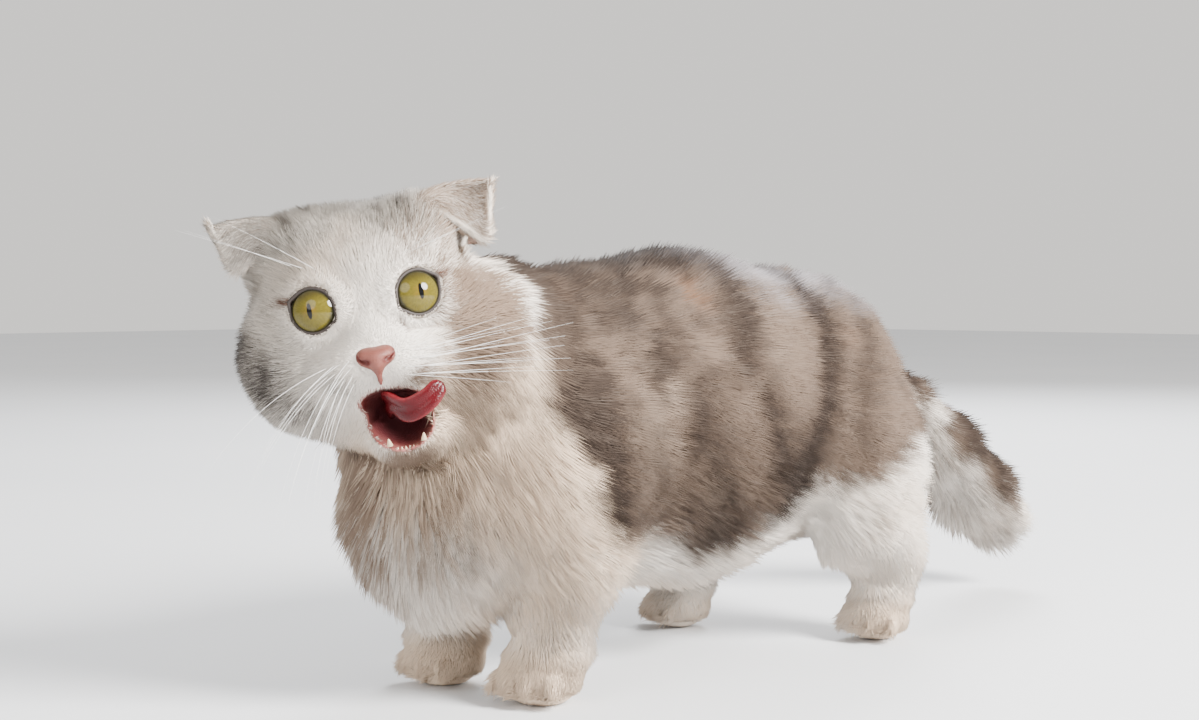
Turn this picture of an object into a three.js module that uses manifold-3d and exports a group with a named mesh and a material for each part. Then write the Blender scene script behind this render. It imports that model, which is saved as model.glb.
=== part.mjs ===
// A munchkin cat with folded ears, life size, standing on its four short legs with its head turned to its left
// and its mouth open to lick its lip. Millimetres, +Z up. The cat faces -Y and its left side is +X.
// Flesh and coat are rounded masses that flow into one another. Each is a field, a function of a point that is
// negative inside, and the surface is drawn where the blended field is zero. The body is drawn whole and then
// parted with thin cuts, and the head, ears, tail, paws and small parts are set against it.
import * as THREE from "three";
import { mergeVertices } from "three/addons/utils/BufferGeometryUtils.js";
import Module from "manifold-3d";

const wasm = await Module();
wasm.setup();

// Driving dimensions
const GAP = 0.3;
const BODY_CELL = 14.5;
const LEG_CELL = 8.5;
const HEAD_CELL = 9;
const PAW_CELL = 4.7;
const SMALL_CELL = 3;
const WRIST_HEIGHT = 24;
const HEAD_PLACE = [12.5, -169, 160.3];
const HEAD_TURN = 50.1;
const HEAD_ROLL = 10.3;
const EYE_SPACING = 34.8;
const EYE_RADIUS = 11;
const EAR_THICKNESS = 1.6;
const FORE_PAWS = { left: [28, -94], right: [-28, -94] };
const HIND_PAWS = { left: [45, 113], right: [-45, 74] };

// Fields

const smoothLeast = (a, b, k) => {
  const h = Math.max(k - Math.abs(a - b), 0) / k;
  return Math.min(a, b) - (h * h * k) / 4;
};

const blend = (k, ...fields) => (x, y, z) =>
  fields.reduce((least, field) => smoothLeast(least, field(x, y, z), k), Infinity);

const swollen = (field, by) => (x, y, z) => field(x, y, z) - by;

const inBox = ([x0, y0, z0], [x1, y1, z1]) => (x, y, z) =>
  Math.max(x0 - x, x - x1, y0 - y, y - y1, z0 - z, z - z1);

// An ellipsoid of half sizes a, b and c, turned about X, Y and Z in degrees.
function mass([cx, cy, cz], [a, b, c], [tx, ty, tz] = [0, 0, 0]) {
  const turn = new THREE.Euler(...[tx, ty, tz].map(THREE.MathUtils.degToRad));
  const e = new THREE.Matrix4().makeRotationFromEuler(turn).transpose().elements;
  return (x, y, z) => {
    const [dx, dy, dz] = [x - cx, y - cy, z - cz];
    const u = e[0] * dx + e[4] * dy + e[8] * dz;
    const v = e[1] * dx + e[5] * dy + e[9] * dz;
    const w = e[2] * dx + e[6] * dy + e[10] * dz;
    const near = Math.hypot(u / a, v / b, w / c);
    const slope = Math.hypot(u / (a * a), v / (b * b), w / (c * c));
    return slope > 1e-9 ? (near * (near - 1)) / slope : -Math.min(a, b, c);
  };
}

// A limb that tapers from one round end to the other.
function limb(from, to, fromRadius, toRadius) {
  const axis = to.map((v, i) => v - from[i]);
  const lengthSquared = axis.reduce((sum, v) => sum + v * v, 0);
  return (x, y, z) => {
    const d = [x - from[0], y - from[1], z - from[2]];
    const dot = d[0] * axis[0] + d[1] * axis[1] + d[2] * axis[2];
    const t = Math.min(Math.max(dot / lengthSquared, 0), 1);
    const off = Math.hypot(d[0] - axis[0] * t, d[1] - axis[1] * t, d[2] - axis[2] * t);
    return off - (fromRadius + (toRadius - fromRadius) * t);
  };
}

// Surfaces

function slopeOf(field, x, y, z) {
  const step = 0.2;
  return [
    (field(x + step, y, z) - field(x - step, y, z)) / (2 * step),
    (field(x, y + step, z) - field(x, y - step, z)) / (2 * step),
    (field(x, y, z + step) - field(x, y, z - step)) / (2 * step),
  ];
}

function geometryOf(positions, faces) {
  const geometry = new THREE.BufferGeometry();
  geometry.setAttribute("position", new THREE.Float32BufferAttribute(positions.flat(), 3));
  geometry.setIndex(faces.flat());
  return geometry;
}

const CORNERS = [0, 1, 2, 3, 4, 5, 6, 7].map((n) => [n & 1, (n >> 1) & 1, (n >> 2) & 1]);
const EDGES = [0, 1, 2].flatMap((axis) =>
  CORNERS.flatMap((corner, n) => (corner[axis] ? [] : [[n, n + (1 << axis)]])),
);
const SIDES = [0, 1, 2].flatMap((axis) =>
  [0, 1].map((side) => CORNERS.flatMap((corner, n) => (corner[axis] === side ? [n] : []))),
);

// The crossed edges of a cell in groups, one group for each sheet of the surface that passes through it
function sheets(inside) {
  const crossed = EDGES.map(([p, q]) => inside[p] !== inside[q]);
  const group = EDGES.map((edge, n) => n);
  const join = ([a, b]) => {
    const from = group[a];
    group.forEach((g, n) => {
      if (g === from) group[n] = group[b];
    });
  };
  for (const side of SIDES) {
    const onSide = EDGES.flatMap((edge, n) => (crossed[n] && edge.every((p) => side.includes(p)) ? [n] : []));
    if (onSide.length === 2) join(onSide);
    if (onSide.length === 4)
      for (const corner of side.filter((p) => inside[p]))
        join(onSide.filter((n) => EDGES[n].includes(corner)));
  }
  const found = [...new Set(group.filter((g, n) => crossed[n]))];
  return found.map((g) => EDGES.flatMap((edge, n) => (crossed[n] && group[n] === g ? [n] : [])));
}

// The surface where a field is zero, inside a box: a point for each sheet in each cell, drawn onto the surface.
// It is shut where the sides of the box cut it.
function surface(field, low, high, cell) {
  const counts = low.map((v, i) => Math.ceil((high[i] - v) / cell) + 1);
  const at = (i, j, k) => (i * counts[1] + j) * counts[2] + k;
  const values = new Float64Array(counts[0] * counts[1] * counts[2]);
  const eachCell = (visit) => {
    for (let i = 0; i < counts[0] - 1; i++)
      for (let j = 0; j < counts[1] - 1; j++) for (let k = 0; k < counts[2] - 1; k++) visit(i, j, k);
  };
  for (let i = 0; i < counts[0]; i++)
    for (let j = 0; j < counts[1]; j++)
      for (let k = 0; k < counts[2]; k++) {
        const onSide = [i, j, k].some((n, axis) => n === 0 || n === counts[axis] - 1);
        const here = [i, j, k].map((n, axis) => low[axis] + n * cell);
        values[at(i, j, k)] = onSide ? 1 : field(...here);
      }
  const points = [];
  const pointOf = new Map();
  eachCell((i, j, k) => {
    const around = CORNERS.map(([a, b, c]) => values[at(i + a, j + b, k + c)]);
    const inside = around.map((v) => v < 0);
    if (inside.every((v) => v === inside[0])) return;
    for (const sheet of sheets(inside)) {
      const sum = [0, 0, 0];
      for (const n of sheet) {
        const [p, q] = EDGES[n];
        const t = around[p] / (around[p] - around[q]);
        sum.forEach((v, axis) => {
          sum[axis] = v + CORNERS[p][axis] + (CORNERS[q][axis] - CORNERS[p][axis]) * t;
        });
        pointOf.set(at(i, j, k) * EDGES.length + n, points.length);
      }
      points.push([i, j, k].map((n, axis) => low[axis] + (n + sum[axis] / sheet.length) * cell));
    }
  });
  const cutShort = (p) => p.some((v, n) => v < low[n] + cell || v > low[n] + (counts[n] - 2) * cell);
  for (const point of points.filter((p) => !cutShort(p)))
    for (let round = 0; round < 3; round++) {
      const slope = slopeOf(field, ...point);
      const length = Math.hypot(...slope) || 1;
      const shift = Math.min(Math.max(field(...point) / length, -cell / 3), cell / 3);
      for (let n = 0; n < 3; n++) point[n] -= (slope[n] / length) * shift;
    }
  const apart = (p, q) => Math.hypot(...points[p].map((v, n) => v - points[q][n]));
  const faces = [];
  const ring = [[0, 0], [1, 0], [1, 1], [0, 1]];
  eachCell((i, j, k) => {
    const inside = values[at(i, j, k)] < 0;
    for (const axis of [0, 1, 2]) {
      const step = [0, 1, 2].map((n) => (n === axis ? 1 : 0));
      if (inside === values[at(i + step[0], j + step[1], k + step[2])] < 0) continue;
      const corners = ring.map(([a, b]) => {
        const back = [0, 0, 0];
        back[(axis + 1) % 3] = a;
        back[(axis + 2) % 3] = b;
        const corner = back[0] + 2 * back[1] + 4 * back[2];
        const edge = EDGES.findIndex(([p, q]) => p === corner && q === corner + (1 << axis));
        return pointOf.get(at(i - back[0], j - back[1], k - back[2]) * EDGES.length + edge);
      });
      const [a, b, c, d] = inside ? corners : corners.toReversed();
      if (apart(a, c) < apart(b, d)) faces.push([a, b, c], [a, c, d]);
      else faces.push([a, b, d], [b, c, d]);
    }
  });
  return geometryOf(points, faces);
}

// A round surface seen from a point inside it, with its pole to the front and its rings closest together there.
function roundSurface(field, centre, rings, spokes, reach) {
  const pointAlong = (direction) => {
    let outer = reach;
    const value = (r) => field(...centre.map((v, n) => v + direction[n] * r));
    while (value(outer) > 0) outer -= 2;
    let [inner, beyond] = [outer, outer + 2];
    for (let round = 0; round < 20; round++) {
      const middle = (inner + beyond) / 2;
      if (value(middle) > 0) beyond = middle;
      else inner = middle;
    }
    return centre.map((v, n) => v + direction[n] * inner);
  };
  const points = [pointAlong([0, -1, 0])];
  for (let ring = 1; ring < rings; ring++) {
    const share = ring / rings;
    const polar = Math.PI * share * (0.55 + 0.45 * share);
    for (let spoke = 0; spoke < spokes; spoke++) {
      const angle = (2 * Math.PI * (spoke + (ring % 2) / 2)) / spokes;
      const out = Math.sin(polar);
      points.push(pointAlong([out * Math.cos(angle), -Math.cos(polar), out * Math.sin(angle)]));
    }
  }
  points.push(pointAlong([0, 1, 0]));
  const last = points.length - 1;
  const index = (ring, spoke) => 1 + (ring - 1) * spokes + ((spoke + spokes) % spokes);
  const faces = [];
  for (let spoke = 0; spoke < spokes; spoke++) {
    faces.push([0, index(1, spoke + 1), index(1, spoke)]);
    faces.push([last, index(rings - 1, spoke), index(rings - 1, spoke + 1)]);
    for (let ring = 1; ring < rings - 1; ring++) {
      const shift = ring % 2;
      const [a, b] = [index(ring, spoke), index(ring, spoke + 1)];
      const [c, d] = [index(ring + 1, spoke + shift), index(ring + 1, spoke + 1 + shift)];
      faces.push([a, b, c], [b, d, c]);
    }
  }
  return geometryOf(points, faces.map(([a, b, c]) => [a, c, b]));
}

// A closed skin over rings of points that all have the same count, with a flat end at each side.
function loft(rings) {
  const count = rings[0].length;
  const points = rings.flat();
  const faces = [];
  for (let r = 0; r < rings.length - 1; r++)
    for (let n = 0; n < count; n++) {
      const [a, b] = [r * count + n, r * count + ((n + 1) % count)];
      faces.push([a, b, b + count], [a, b + count, a + count]);
    }
  const ends = [rings[0], rings.at(-1)];
  ends.forEach((ring, side) => {
    const middle = points.length;
    points.push([0, 1, 2].map((axis) => ring.reduce((sum, p) => sum + p[axis], 0) / count));
    const first = side ? (rings.length - 1) * count : 0;
    for (let n = 0; n < count; n++) {
      const [a, b] = [first + n, first + ((n + 1) % count)];
      faces.push(side ? [middle, a, b] : [middle, b, a]);
    }
  });
  return geometryOf(points, faces);
}

// A bent, tapered body along a curve. Its half width and half thickness come from shapeAt(share of the length),
// and its width lies level, or is turned by so many degrees towards +Z on the way to its end.
function bentBody(path, shapeAt, steps, sides, twist = 0) {
  const curve = new THREE.CatmullRomCurve3(path.map((p) => new THREE.Vector3(...p)));
  const rings = [];
  for (let step = 0; step <= steps; step++) {
    const share = step / steps;
    const centre = curve.getPointAt(share);
    const along = curve.getTangentAt(share);
    const angle = THREE.MathUtils.degToRad(twist * Math.min(1.5 * share, 1));
    const across = new THREE.Vector3(Math.cos(angle), 0, Math.sin(angle));
    const up = new THREE.Vector3().crossVectors(along, across).normalize();
    const side = new THREE.Vector3().crossVectors(up, along).normalize();
    const [width, thickness] = shapeAt(share);
    const ring = [];
    for (let n = 0; n < sides; n++) {
      const round = (2 * Math.PI * n) / sides;
      ring.push(
        centre.clone()
          .addScaledVector(side, width * Math.cos(round))
          .addScaledVector(up, thickness * Math.sin(round))
          .toArray(),
      );
    }
    rings.push(ring);
  }
  return loft(rings);
}

// Solids

function solid(geometry) {
  const bare = geometry.clone();
  bare.deleteAttribute("normal");
  bare.deleteAttribute("uv");
  const merged = mergeVertices(bare, 1e-4);
  const made = new wasm.Manifold(
    new wasm.Mesh({
      numProp: 3,
      vertProperties: new Float32Array(merged.attributes.position.array),
      triVerts: new Uint32Array(merged.index.array),
    }),
  );
  if (made.volume() > 0) return made;
  const turned = new Uint32Array(merged.index.array);
  for (let i = 0; i < turned.length; i += 3) [turned[i], turned[i + 1]] = [turned[i + 1], turned[i]];
  return new wasm.Manifold(
    new wasm.Mesh({
      numProp: 3,
      vertProperties: new Float32Array(merged.attributes.position.array),
      triVerts: turned,
    }),
  );
}

const largest = (made) =>
  made.decompose().reduce((best, body) => (body.volume() > best.volume() ? body : best));

const ellipsoid = (centre, radii) =>
  solid(new THREE.SphereGeometry(1, 16, 12).scale(...radii).translate(...centre));

function block(low, high) {
  const size = high.map((v, i) => v - low[i]);
  const middle = high.map((v, i) => (v + low[i]) / 2);
  return solid(new THREE.BoxGeometry(...size).translate(...middle));
}

// A block with one face through a point, facing the given way and moved out that way, and the rest behind it.
function halfSpace(point, facing, out = 0) {
  const side = 800;
  const towards = new THREE.Vector3(...facing).normalize();
  const turn = new THREE.Quaternion().setFromUnitVectors(new THREE.Vector3(0, 0, 1), towards);
  const geometry = new THREE.BoxGeometry(side, side, side).translate(0, 0, out - side / 2);
  return solid(geometry.applyQuaternion(turn).translate(...point));
}

// Torso, neck and limbs

const chestAndBelly = blend(
  26,
  mass([0, -58, 108], [61, 80, 68]),
  mass([0, 18, 108], [66, 92, 77]),
  mass([0, 98, 111], [55, 70, 66]),
  mass([0, -115, 88], [49, 45, 60]),
);
const neckMass = mass([-4, -116, 140], [50, 48, 44]);

function foreLeg(side) {
  const [x, y] = FORE_PAWS[side];
  const out = Math.sign(x);
  return blend(
    14,
    mass([out * 40, -88, 88], [25, 38, 46]),
    limb([x + out * 7, y + 12, 62], [x + out * 1, y + 3, 14], 21.5, 17),
  );
}

function hindLeg(side) {
  const [x, y] = HIND_PAWS[side];
  const out = Math.sign(x);
  return blend(
    16,
    mass([out * 41, (y + 210) / 3.05, 82], [29, 42, 46]),
    limb([x, y - 4, 56], [x, y + 11, 40], 20, 15),
    limb([x, y + 10, 40], [x, y + 5, 14], 15.5, 15),
  );
}

const bodyField = blend(
  18,
  blend(24, chestAndBelly, neckMass),
  foreLeg("left"),
  foreLeg("right"),
  hindLeg("left"),
  hindLeg("right"),
);

// A foot: a palm and four toes that fan out a little, on the end of a leg.
function toes([x, y], turn, width) {
  const angle = THREE.MathUtils.degToRad(turn);
  const put = (across, forward, height) => [
    x + across * Math.cos(angle) + forward * Math.sin(angle),
    y + across * Math.sin(angle) - forward * Math.cos(angle),
    height,
  ];
  const palm = mass(put(0, 0, 10), [width * 0.47, 17, 12], [0, 0, turn]);
  const each = [-1.5, -0.5, 0.5, 1.5].map((n) =>
    mass(
      put(n * width * 0.235, 12 - Math.abs(n) * 3, 8),
      [width * 0.14, 8.8, 8],
      [0, 0, turn + n * 7],
    ),
  );
  return blend(1.6, palm, ...each);
}

const pawSpots = {
  forepaw_left: [FORE_PAWS.left, 8, 37],
  forepaw_right: [FORE_PAWS.right, -8, 35],
  hindpaw_left: [HIND_PAWS.left, 12, 35],
  hindpaw_right: [HIND_PAWS.right, -32, 35],
};

// Head, in its own frame: the origin midway between the eyeballs' centres, -Y out of the face, +X to its left

const headMasses = blend(
  11,
  mass([0, 32, 4], [46, 41, 36]),
  mass([24, 20, 24], [20, 20, 15]),
  mass([-24, 20, 24], [20, 20, 15]),
  mass([33, 22, -16], [26, 28, 25]),
  mass([-29, 20, -16], [24, 27, 26]),
  mass([27, 22, -30], [27, 26, 25]),
  mass([-22, 20, -26], [25, 25, 22]),
  mass([0, 10, -26], [30, 26, 19]),
  limb([0, 2, 4], [0, -7, -13], 12, 10.5),
);
const muzzle = blend(
  5,
  mass([10.5, -7.5, -23.2], [13.5, 13.5, 9.5], [0, 8, 0]),
  mass([-10.5, -7.5, -23.2], [13.5, 13.5, 9.5], [0, -8, 0]),
);
const headField = blend(7, headMasses, muzzle);
const HEAD_MIDDLE = [0, 14, -8];

const eyeSpot = (out) => [(out * EYE_SPACING) / 2, 0, 0];
const eyeWay = (out) => new THREE.Vector3(out * 0.3, -0.95, 0.06).normalize();

function faceTowards(geometry, [x, y, z], way) {
  const turn = new THREE.Quaternion().setFromUnitVectors(new THREE.Vector3(0, 0, 1), way);
  return geometry.applyQuaternion(turn).translate(x, y, z);
}

// The rim of the lids round an eye, drawn out to a point at its inner and outer corner.
function lidRim(out) {
  const rim = new THREE.TorusGeometry(9.1, 1.7, 6, 18);
  const position = rim.attributes.position;
  for (let i = 0; i < position.count; i++) {
    const [x, y] = [position.getX(i), position.getY(i)];
    const level = Math.abs(y) / Math.hypot(x, y);
    const corner = 1 + 0.16 * Math.exp(-18 * level * level);
    position.setXY(i, x * corner, y * 0.95);
  }
  rim.rotateZ(THREE.MathUtils.degToRad(out * 28));
  const way = eyeWay(out);
  const centre = eyeSpot(out).map((v, i) => v + way.toArray()[i] * 6.8);
  return solid(faceTowards(rim, centre, way));
}

function eyeball(out, radius) {
  const ball = new THREE.SphereGeometry(radius, 14, 10).rotateX(Math.PI / 2);
  const position = ball.attributes.position;
  for (let i = 0; i < position.count; i++) {
    const z = position.getZ(i);
    const cornea = 1 + 0.07 * Math.max(z / radius - 0.55, 0);
    position.setXYZ(i, position.getX(i) * cornea, position.getY(i) * cornea, z * cornea);
  }
  return solid(faceTowards(ball, eyeSpot(out), eyeWay(out)));
}

// The open mouth, which leans to the cat's left as the jaw does
const JAW_SHIFT = 5.5;
const mouthRoom = (shrink) =>
  ellipsoid([JAW_SHIFT - 0.5, -10, -44], [12.6 - shrink, 26 - shrink, 12 - shrink]).add(
    ellipsoid([-1, -14, -37.5], [8.6 - shrink, 20 - shrink, 6 - shrink]),
  );
const jawField = blend(
  9,
  mass([JAW_SHIFT + 0.5, -5, -51], [13.5, 13.5, 10]),
  limb([JAW_SHIFT, 0, -49], [26, 22, -38], 11, 13),
  limb([JAW_SHIFT, 0, -49], [-22, 22, -38], 11, 13),
  mass([1, 20, -42], [24, 22, 13]),
);
function headSolid(swell) {
  const made = solid(roundSurface(swollen(headField, swell), HEAD_MIDDLE, 22, 36, 96));
  return swell ? made : made.add(lidRim(1)).add(lidRim(-1));
}

const headGrown = headSolid(GAP);
const head = largest(
  headSolid(0)
    .subtract(eyeball(1, EYE_RADIUS + GAP))
    .subtract(eyeball(-1, EYE_RADIUS + GAP))
    .subtract(mouthRoom(0)),
);
const jawBox = [[-45, -30, -72], [50, 52, -18]];
const jawGrown = solid(surface(swollen(jawField, GAP), ...jawBox, 6.5));
const headRoom = solid(surface(swollen(headField, 4 * GAP), [-80, -60, -75], [80, 95, 65], HEAD_CELL));
const jawRoom = jawGrown.subtract(mouthRoom(GAP));
const headWall = headGrown.subtract(mouthRoom(GAP));
const jaw = largest(solid(surface(jawField, ...jawBox, 6.5)).subtract(headRoom).subtract(mouthRoom(0)));

// Nose leather with its two comma-shaped nostrils
const noseField = blend(
  3,
  mass([0, -18.3, -19.8], [5.8, 6.4, 3.4]),
  mass([0, -18.4, -22.6], [3.2, 5.6, 4.6]),
  mass([4.3, -17.4, -19.6], [3, 4.8, 3]),
  mass([-4.3, -17.4, -19.6], [3, 4.8, 3]),
);
const nostril = (out) =>
  solid(
    bentBody(
      [[out * 3, -26, -21.8], [out * 4, -21.5, -21], [out * 7.3, -19.5, -18.6]],
      (share) => [1 - 0.3 * share, 0.9 - 0.25 * share],
      5,
      7,
    ),
  );
const noseBox = [[-15, -34, -35], [15, -3, -5]];
const faceBehindNose = solid(surface(swollen(headField, GAP), ...noseBox, SMALL_CELL));
const nose = largest(
  solid(surface(noseField, ...noseBox, SMALL_CELL))
    .subtract(faceBehindNose)
    .subtract(nostril(1))
    .subtract(nostril(-1)),
);

// The tongue comes out over the lower lip and curls up across the upper lip to the cat's left.
const tongue = largest(
  solid(
    bentBody(
      [[5, 17, -46], [6, -4, -43], [7, -14, -39.5], [11, -18.5, -38.2], [16.5, -20, -36.2], [22.5, -18, -32.6]],
      (share) => [6 - 1.8 * share - 2.4 * share ** 6, 2.2 - 0.7 * share ** 4],
      14,
      10,
      115,
    ),
  )
    .subtract(headWall)
    .subtract(jawRoom),
);

function lowerCanine(out) {
  const root = [JAW_SHIFT + out * 6.3, -13.5, -52.5];
  const geometry = new THREE.ConeGeometry(1.7, 7, 8).rotateX(Math.PI / 2 + 0.25);
  return largest(solid(geometry.translate(...root)).subtract(jawRoom));
}

// A folded ear: a thin pocket that hangs open below a ridge. Its back wall stands on the head and its front flap
// hangs forward, and the two and the ridge run together at the tip.
function ear(out, reach, tipHeight, hem) {
  const tip = [reach, 5, tipHeight];
  const curve = (...points) => new THREE.CatmullRomCurve3([...points, tip].map((p) => new THREE.Vector3(...p)));
  const back = curve([22, 26, 27], [32, 31, hem + 4], [reach - 5, 25, hem], [reach - 2, 14, hem + 10]);
  const ridge = curve([24, 15, 34], [33, 13, 37.5], [43, 10, 38.5], [50, 7, 37.5]);
  const edge = curve([28, 4, 31], [36, 1, hem + 11], [reach - 8, 4, hem + 6], [reach - 2.5, 4, hem + 13]);
  const pointAt = (u, v) => {
    const [from, to] = v < 0.5 ? [back, ridge] : [ridge, edge];
    const t = v < 0.5 ? v * 2 : v * 2 - 1;
    const bulge = new THREE.Vector3(0.3, v < 0.5 ? 0.75 : -0.75, 0.6).multiplyScalar(3.5 * Math.sin(Math.PI * t));
    return from.getPoint(u).lerp(to.getPoint(u), t).addScaledVector(bulge, 1 - u);
  };
  const normalAt = (u, v) => {
    const e = 0.01;
    const du = pointAt(Math.min(u + e, 1), v).sub(pointAt(Math.max(u - e, 0), v));
    const dv = pointAt(u, Math.min(v + e, 1)).sub(pointAt(u, Math.max(v - e, 0)));
    return du.cross(dv).normalize();
  };
  const [across, along] = [8, 9];
  const rings = [];
  for (let i = 0; i <= along; i++) {
    const u = (0.97 * i) / along;
    const ring = [];
    for (const side of [1, -1])
      for (let j = 0; j <= across; j++) {
        const v = side > 0 ? j / across : 1 - j / across;
        ring.push(pointAt(u, v).addScaledVector(normalAt(u, v), side * EAR_THICKNESS / 2));
      }
    rings.push(ring.map((p) => [out * p.x, p.y, p.z]));
  }
  return largest(solid(loft(rings)).subtract(headGrown));
}

// The head's frame in the body's: rolled to lift its left side, then turned to the cat's left
const headFrame = new THREE.Matrix4()
  .makeTranslation(...HEAD_PLACE)
  .multiply(new THREE.Matrix4().makeRotationZ(THREE.MathUtils.degToRad(HEAD_TURN)))
  .multiply(new THREE.Matrix4().makeRotationY(THREE.MathUtils.degToRad(-HEAD_ROLL)));
const fromHead = (made) => made.transform(headFrame.elements);

// Body, parted into torso, neck and legs

const bodyBox = [[-90, -185, -20], [90, 190, 215]];
const bodyWhole = solid(surface(bodyField, ...bodyBox, BODY_CELL));
const legBlocks = {
  foreleg_left: [[6, -140, -20], [120, -58, 66]],
  foreleg_right: [[-120, -140, -20], [-6, -58, 66]],
  hindleg_left: [[9, 60, -20], [120, 190, 84]],
  hindleg_right: [[-120, 40, -20], [-9, 190, 84]],
};
const grownBlock = ([low, high]) => block(low.map((v) => v - GAP), high.map((v) => v + GAP));
const neckSide = (out) => halfSpace([0, -121, 140], [0, 0.68, -0.73], out);
const headAndJaw = swollen(blend(6, headField, jawField), 1.6);
const hollowForHead = fromHead(solid(surface(headAndJaw, [-80, -60, -90], [80, 95, 65], HEAD_CELL)));

const pieces = {};
let rest = bodyWhole.subtract(hollowForHead);
for (const [name, [low, high]] of Object.entries(legBlocks)) {
  const around = [low.map((v) => v - LEG_CELL), high.map((v) => v + LEG_CELL)];
  const cutOff = [[low[0], low[1], WRIST_HEIGHT], high];
  pieces[name] = largest(solid(surface(bodyField, ...around, LEG_CELL)).intersect(block(...cutOff)));
  rest = rest.subtract(grownBlock([low, high]));
}
pieces.neck = largest(rest.intersect(neckSide(0)));
pieces.torso = largest(rest.subtract(neckSide(GAP)));

for (const [name, [spot, turn, width]] of Object.entries(pawSpots)) {
  const around = [[spot[0] - 34, spot[1] - 42, -6], [spot[0] + 34, spot[1] + 42, WRIST_HEIGHT + 7]];
  const foot = blend(3, bodyField, toes(spot, turn, width));
  const floorToWrist = block([-200, -300, 0], [200, 300, WRIST_HEIGHT - GAP]);
  pieces[name] = largest(solid(surface(foot, ...around, PAW_CELL)).intersect(floorToWrist));
}

// Tail, in two lengths, thin at its root and bushy towards its end
const tailPath = [[0, 140, 130], [0, 172, 124], [0, 206, 107], [0, 239, 81], [0, 269, 57], [0, 296, 38], [0, 310, 29]];
const tailRadius = (share) => {
  const body = 16 - 5 * Math.sin(Math.PI * Math.min(share * 1.7, 1)) + 9 * share;
  const end = Math.sqrt(Math.max(1 - (Math.max(share - 0.86, 0) / 0.142) ** 2, 0.02));
  return [body * end, body * end];
};
const tailWhole = solid(bentBody(tailPath, tailRadius, 22, 14));
const rootSide = (out) => halfSpace([0, 232, 86], [0, 0.8, -0.6], out);
const bodyGrown = solid(surface(swollen(bodyField, GAP * 2), ...bodyBox, BODY_CELL));
pieces.tail_root = largest(tailWhole.subtract(bodyGrown).intersect(rootSide(0)));
pieces.tail_end = largest(tailWhole.subtract(rootSide(GAP)));

Object.assign(pieces, {
  head: fromHead(head),
  lower_jaw: fromHead(jaw),
  nose: fromHead(nose),
  tongue: fromHead(tongue),
  tooth_lower_left: fromHead(lowerCanine(1)),
  tooth_lower_right: fromHead(lowerCanine(-1)),
  eye_left: fromHead(eyeball(1, EYE_RADIUS)),
  eye_right: fromHead(eyeball(-1, EYE_RADIUS)),
  ear_left: fromHead(ear(1, 54, 36, 15)),
  ear_right: fromHead(ear(-1, 51.5, 38, 20)),
});

// The model, with its origin at the bottom centre of its box

const coats = {
  white: { color: 0xe9e2da, roughness: 0.95 },
  tabby: { color: 0x8d7f76, roughness: 0.95 },
  leather: { color: 0xc98b80, roughness: 0.6 },
  flesh: { color: 0xb23a44, roughness: 0.35 },
  ivory: { color: 0xeadfc8, roughness: 0.4 },
  eye: { color: 0xb5ad52, roughness: 0.08 },
};
const coatOf = (name) => {
  if (/^eye/.test(name)) return coats.eye;
  if (/^tooth/.test(name)) return coats.ivory;
  if (name === "tongue") return coats.flesh;
  if (name === "nose") return coats.leather;
  return /^(torso|tail)/.test(name) ? coats.tabby : coats.white;
};

const cat = new THREE.Group();
for (const [name, made] of Object.entries(pieces)) {
  const mesh = made.getMesh();
  const positions = [];
  for (let i = 0; i < mesh.numVert; i++)
    positions.push(Array.from(mesh.vertProperties.subarray(i * mesh.numProp, i * mesh.numProp + 3)));
  const geometry = geometryOf(positions, [Array.from(mesh.triVerts)]);
  geometry.computeVertexNormals();
  const coat = new THREE.MeshStandardMaterial({ ...coatOf(name), metalness: 0 });
  const node = new THREE.Mesh(geometry, coat);
  node.name = name;
  cat.add(node);
}
const box = new THREE.Box3().setFromObject(cat);
const middle = box.getCenter(new THREE.Vector3());
cat.position.set(-middle.x, -middle.y, -box.min.z);

export default cat;
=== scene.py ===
import bmesh
import bpy
import math
import numpy as np
from mathutils import Matrix, Vector


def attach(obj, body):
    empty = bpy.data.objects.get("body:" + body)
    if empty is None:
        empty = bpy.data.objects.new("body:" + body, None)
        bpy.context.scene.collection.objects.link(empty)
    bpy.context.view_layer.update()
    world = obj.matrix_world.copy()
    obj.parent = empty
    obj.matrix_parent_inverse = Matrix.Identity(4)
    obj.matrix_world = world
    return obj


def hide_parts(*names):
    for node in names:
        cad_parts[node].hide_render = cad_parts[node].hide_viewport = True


# A munchkin cat with folded ears that stands with its head turned to its left and licks its lip. One skin is
# drawn from rounded masses, with a plush coat of tufts over it, and the ears, eyes, lids, nose, tongue, teeth
# and whiskers are set in it. Sizes are in millimetres in the cat's own frame, which faces -Y with its left
# side at +X, and each mesh is brought to metres when it is made.

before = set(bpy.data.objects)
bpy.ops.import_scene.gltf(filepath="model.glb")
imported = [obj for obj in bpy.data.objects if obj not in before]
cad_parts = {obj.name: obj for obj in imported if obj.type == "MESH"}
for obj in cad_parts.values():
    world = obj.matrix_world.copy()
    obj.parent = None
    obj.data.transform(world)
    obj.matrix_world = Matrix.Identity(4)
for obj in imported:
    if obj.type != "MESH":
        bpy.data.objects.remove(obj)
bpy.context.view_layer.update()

# The floor and the light
# A plain pale studio floor, a soft wide light from the cat's left like a window's, a weaker one in front and
# a cool one from behind that rims the back, with a pale sky over all.
CAT_TO_ROW = np.array([-0.087, -50.933, 0.0])
WARM_WHITE = (1.0, 0.975, 0.94)
FLOOR_REACH = 6


def feed(tree, socket, value):
    """Links a wire to the socket, or sets the socket to a constant."""
    if isinstance(value, Wire):
        tree.links.new(value.socket, socket)
    elif socket.type == "RGBA" and len(value) == 3:
        socket.default_value = (*value, 1)
    else:
        socket.default_value = value


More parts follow.
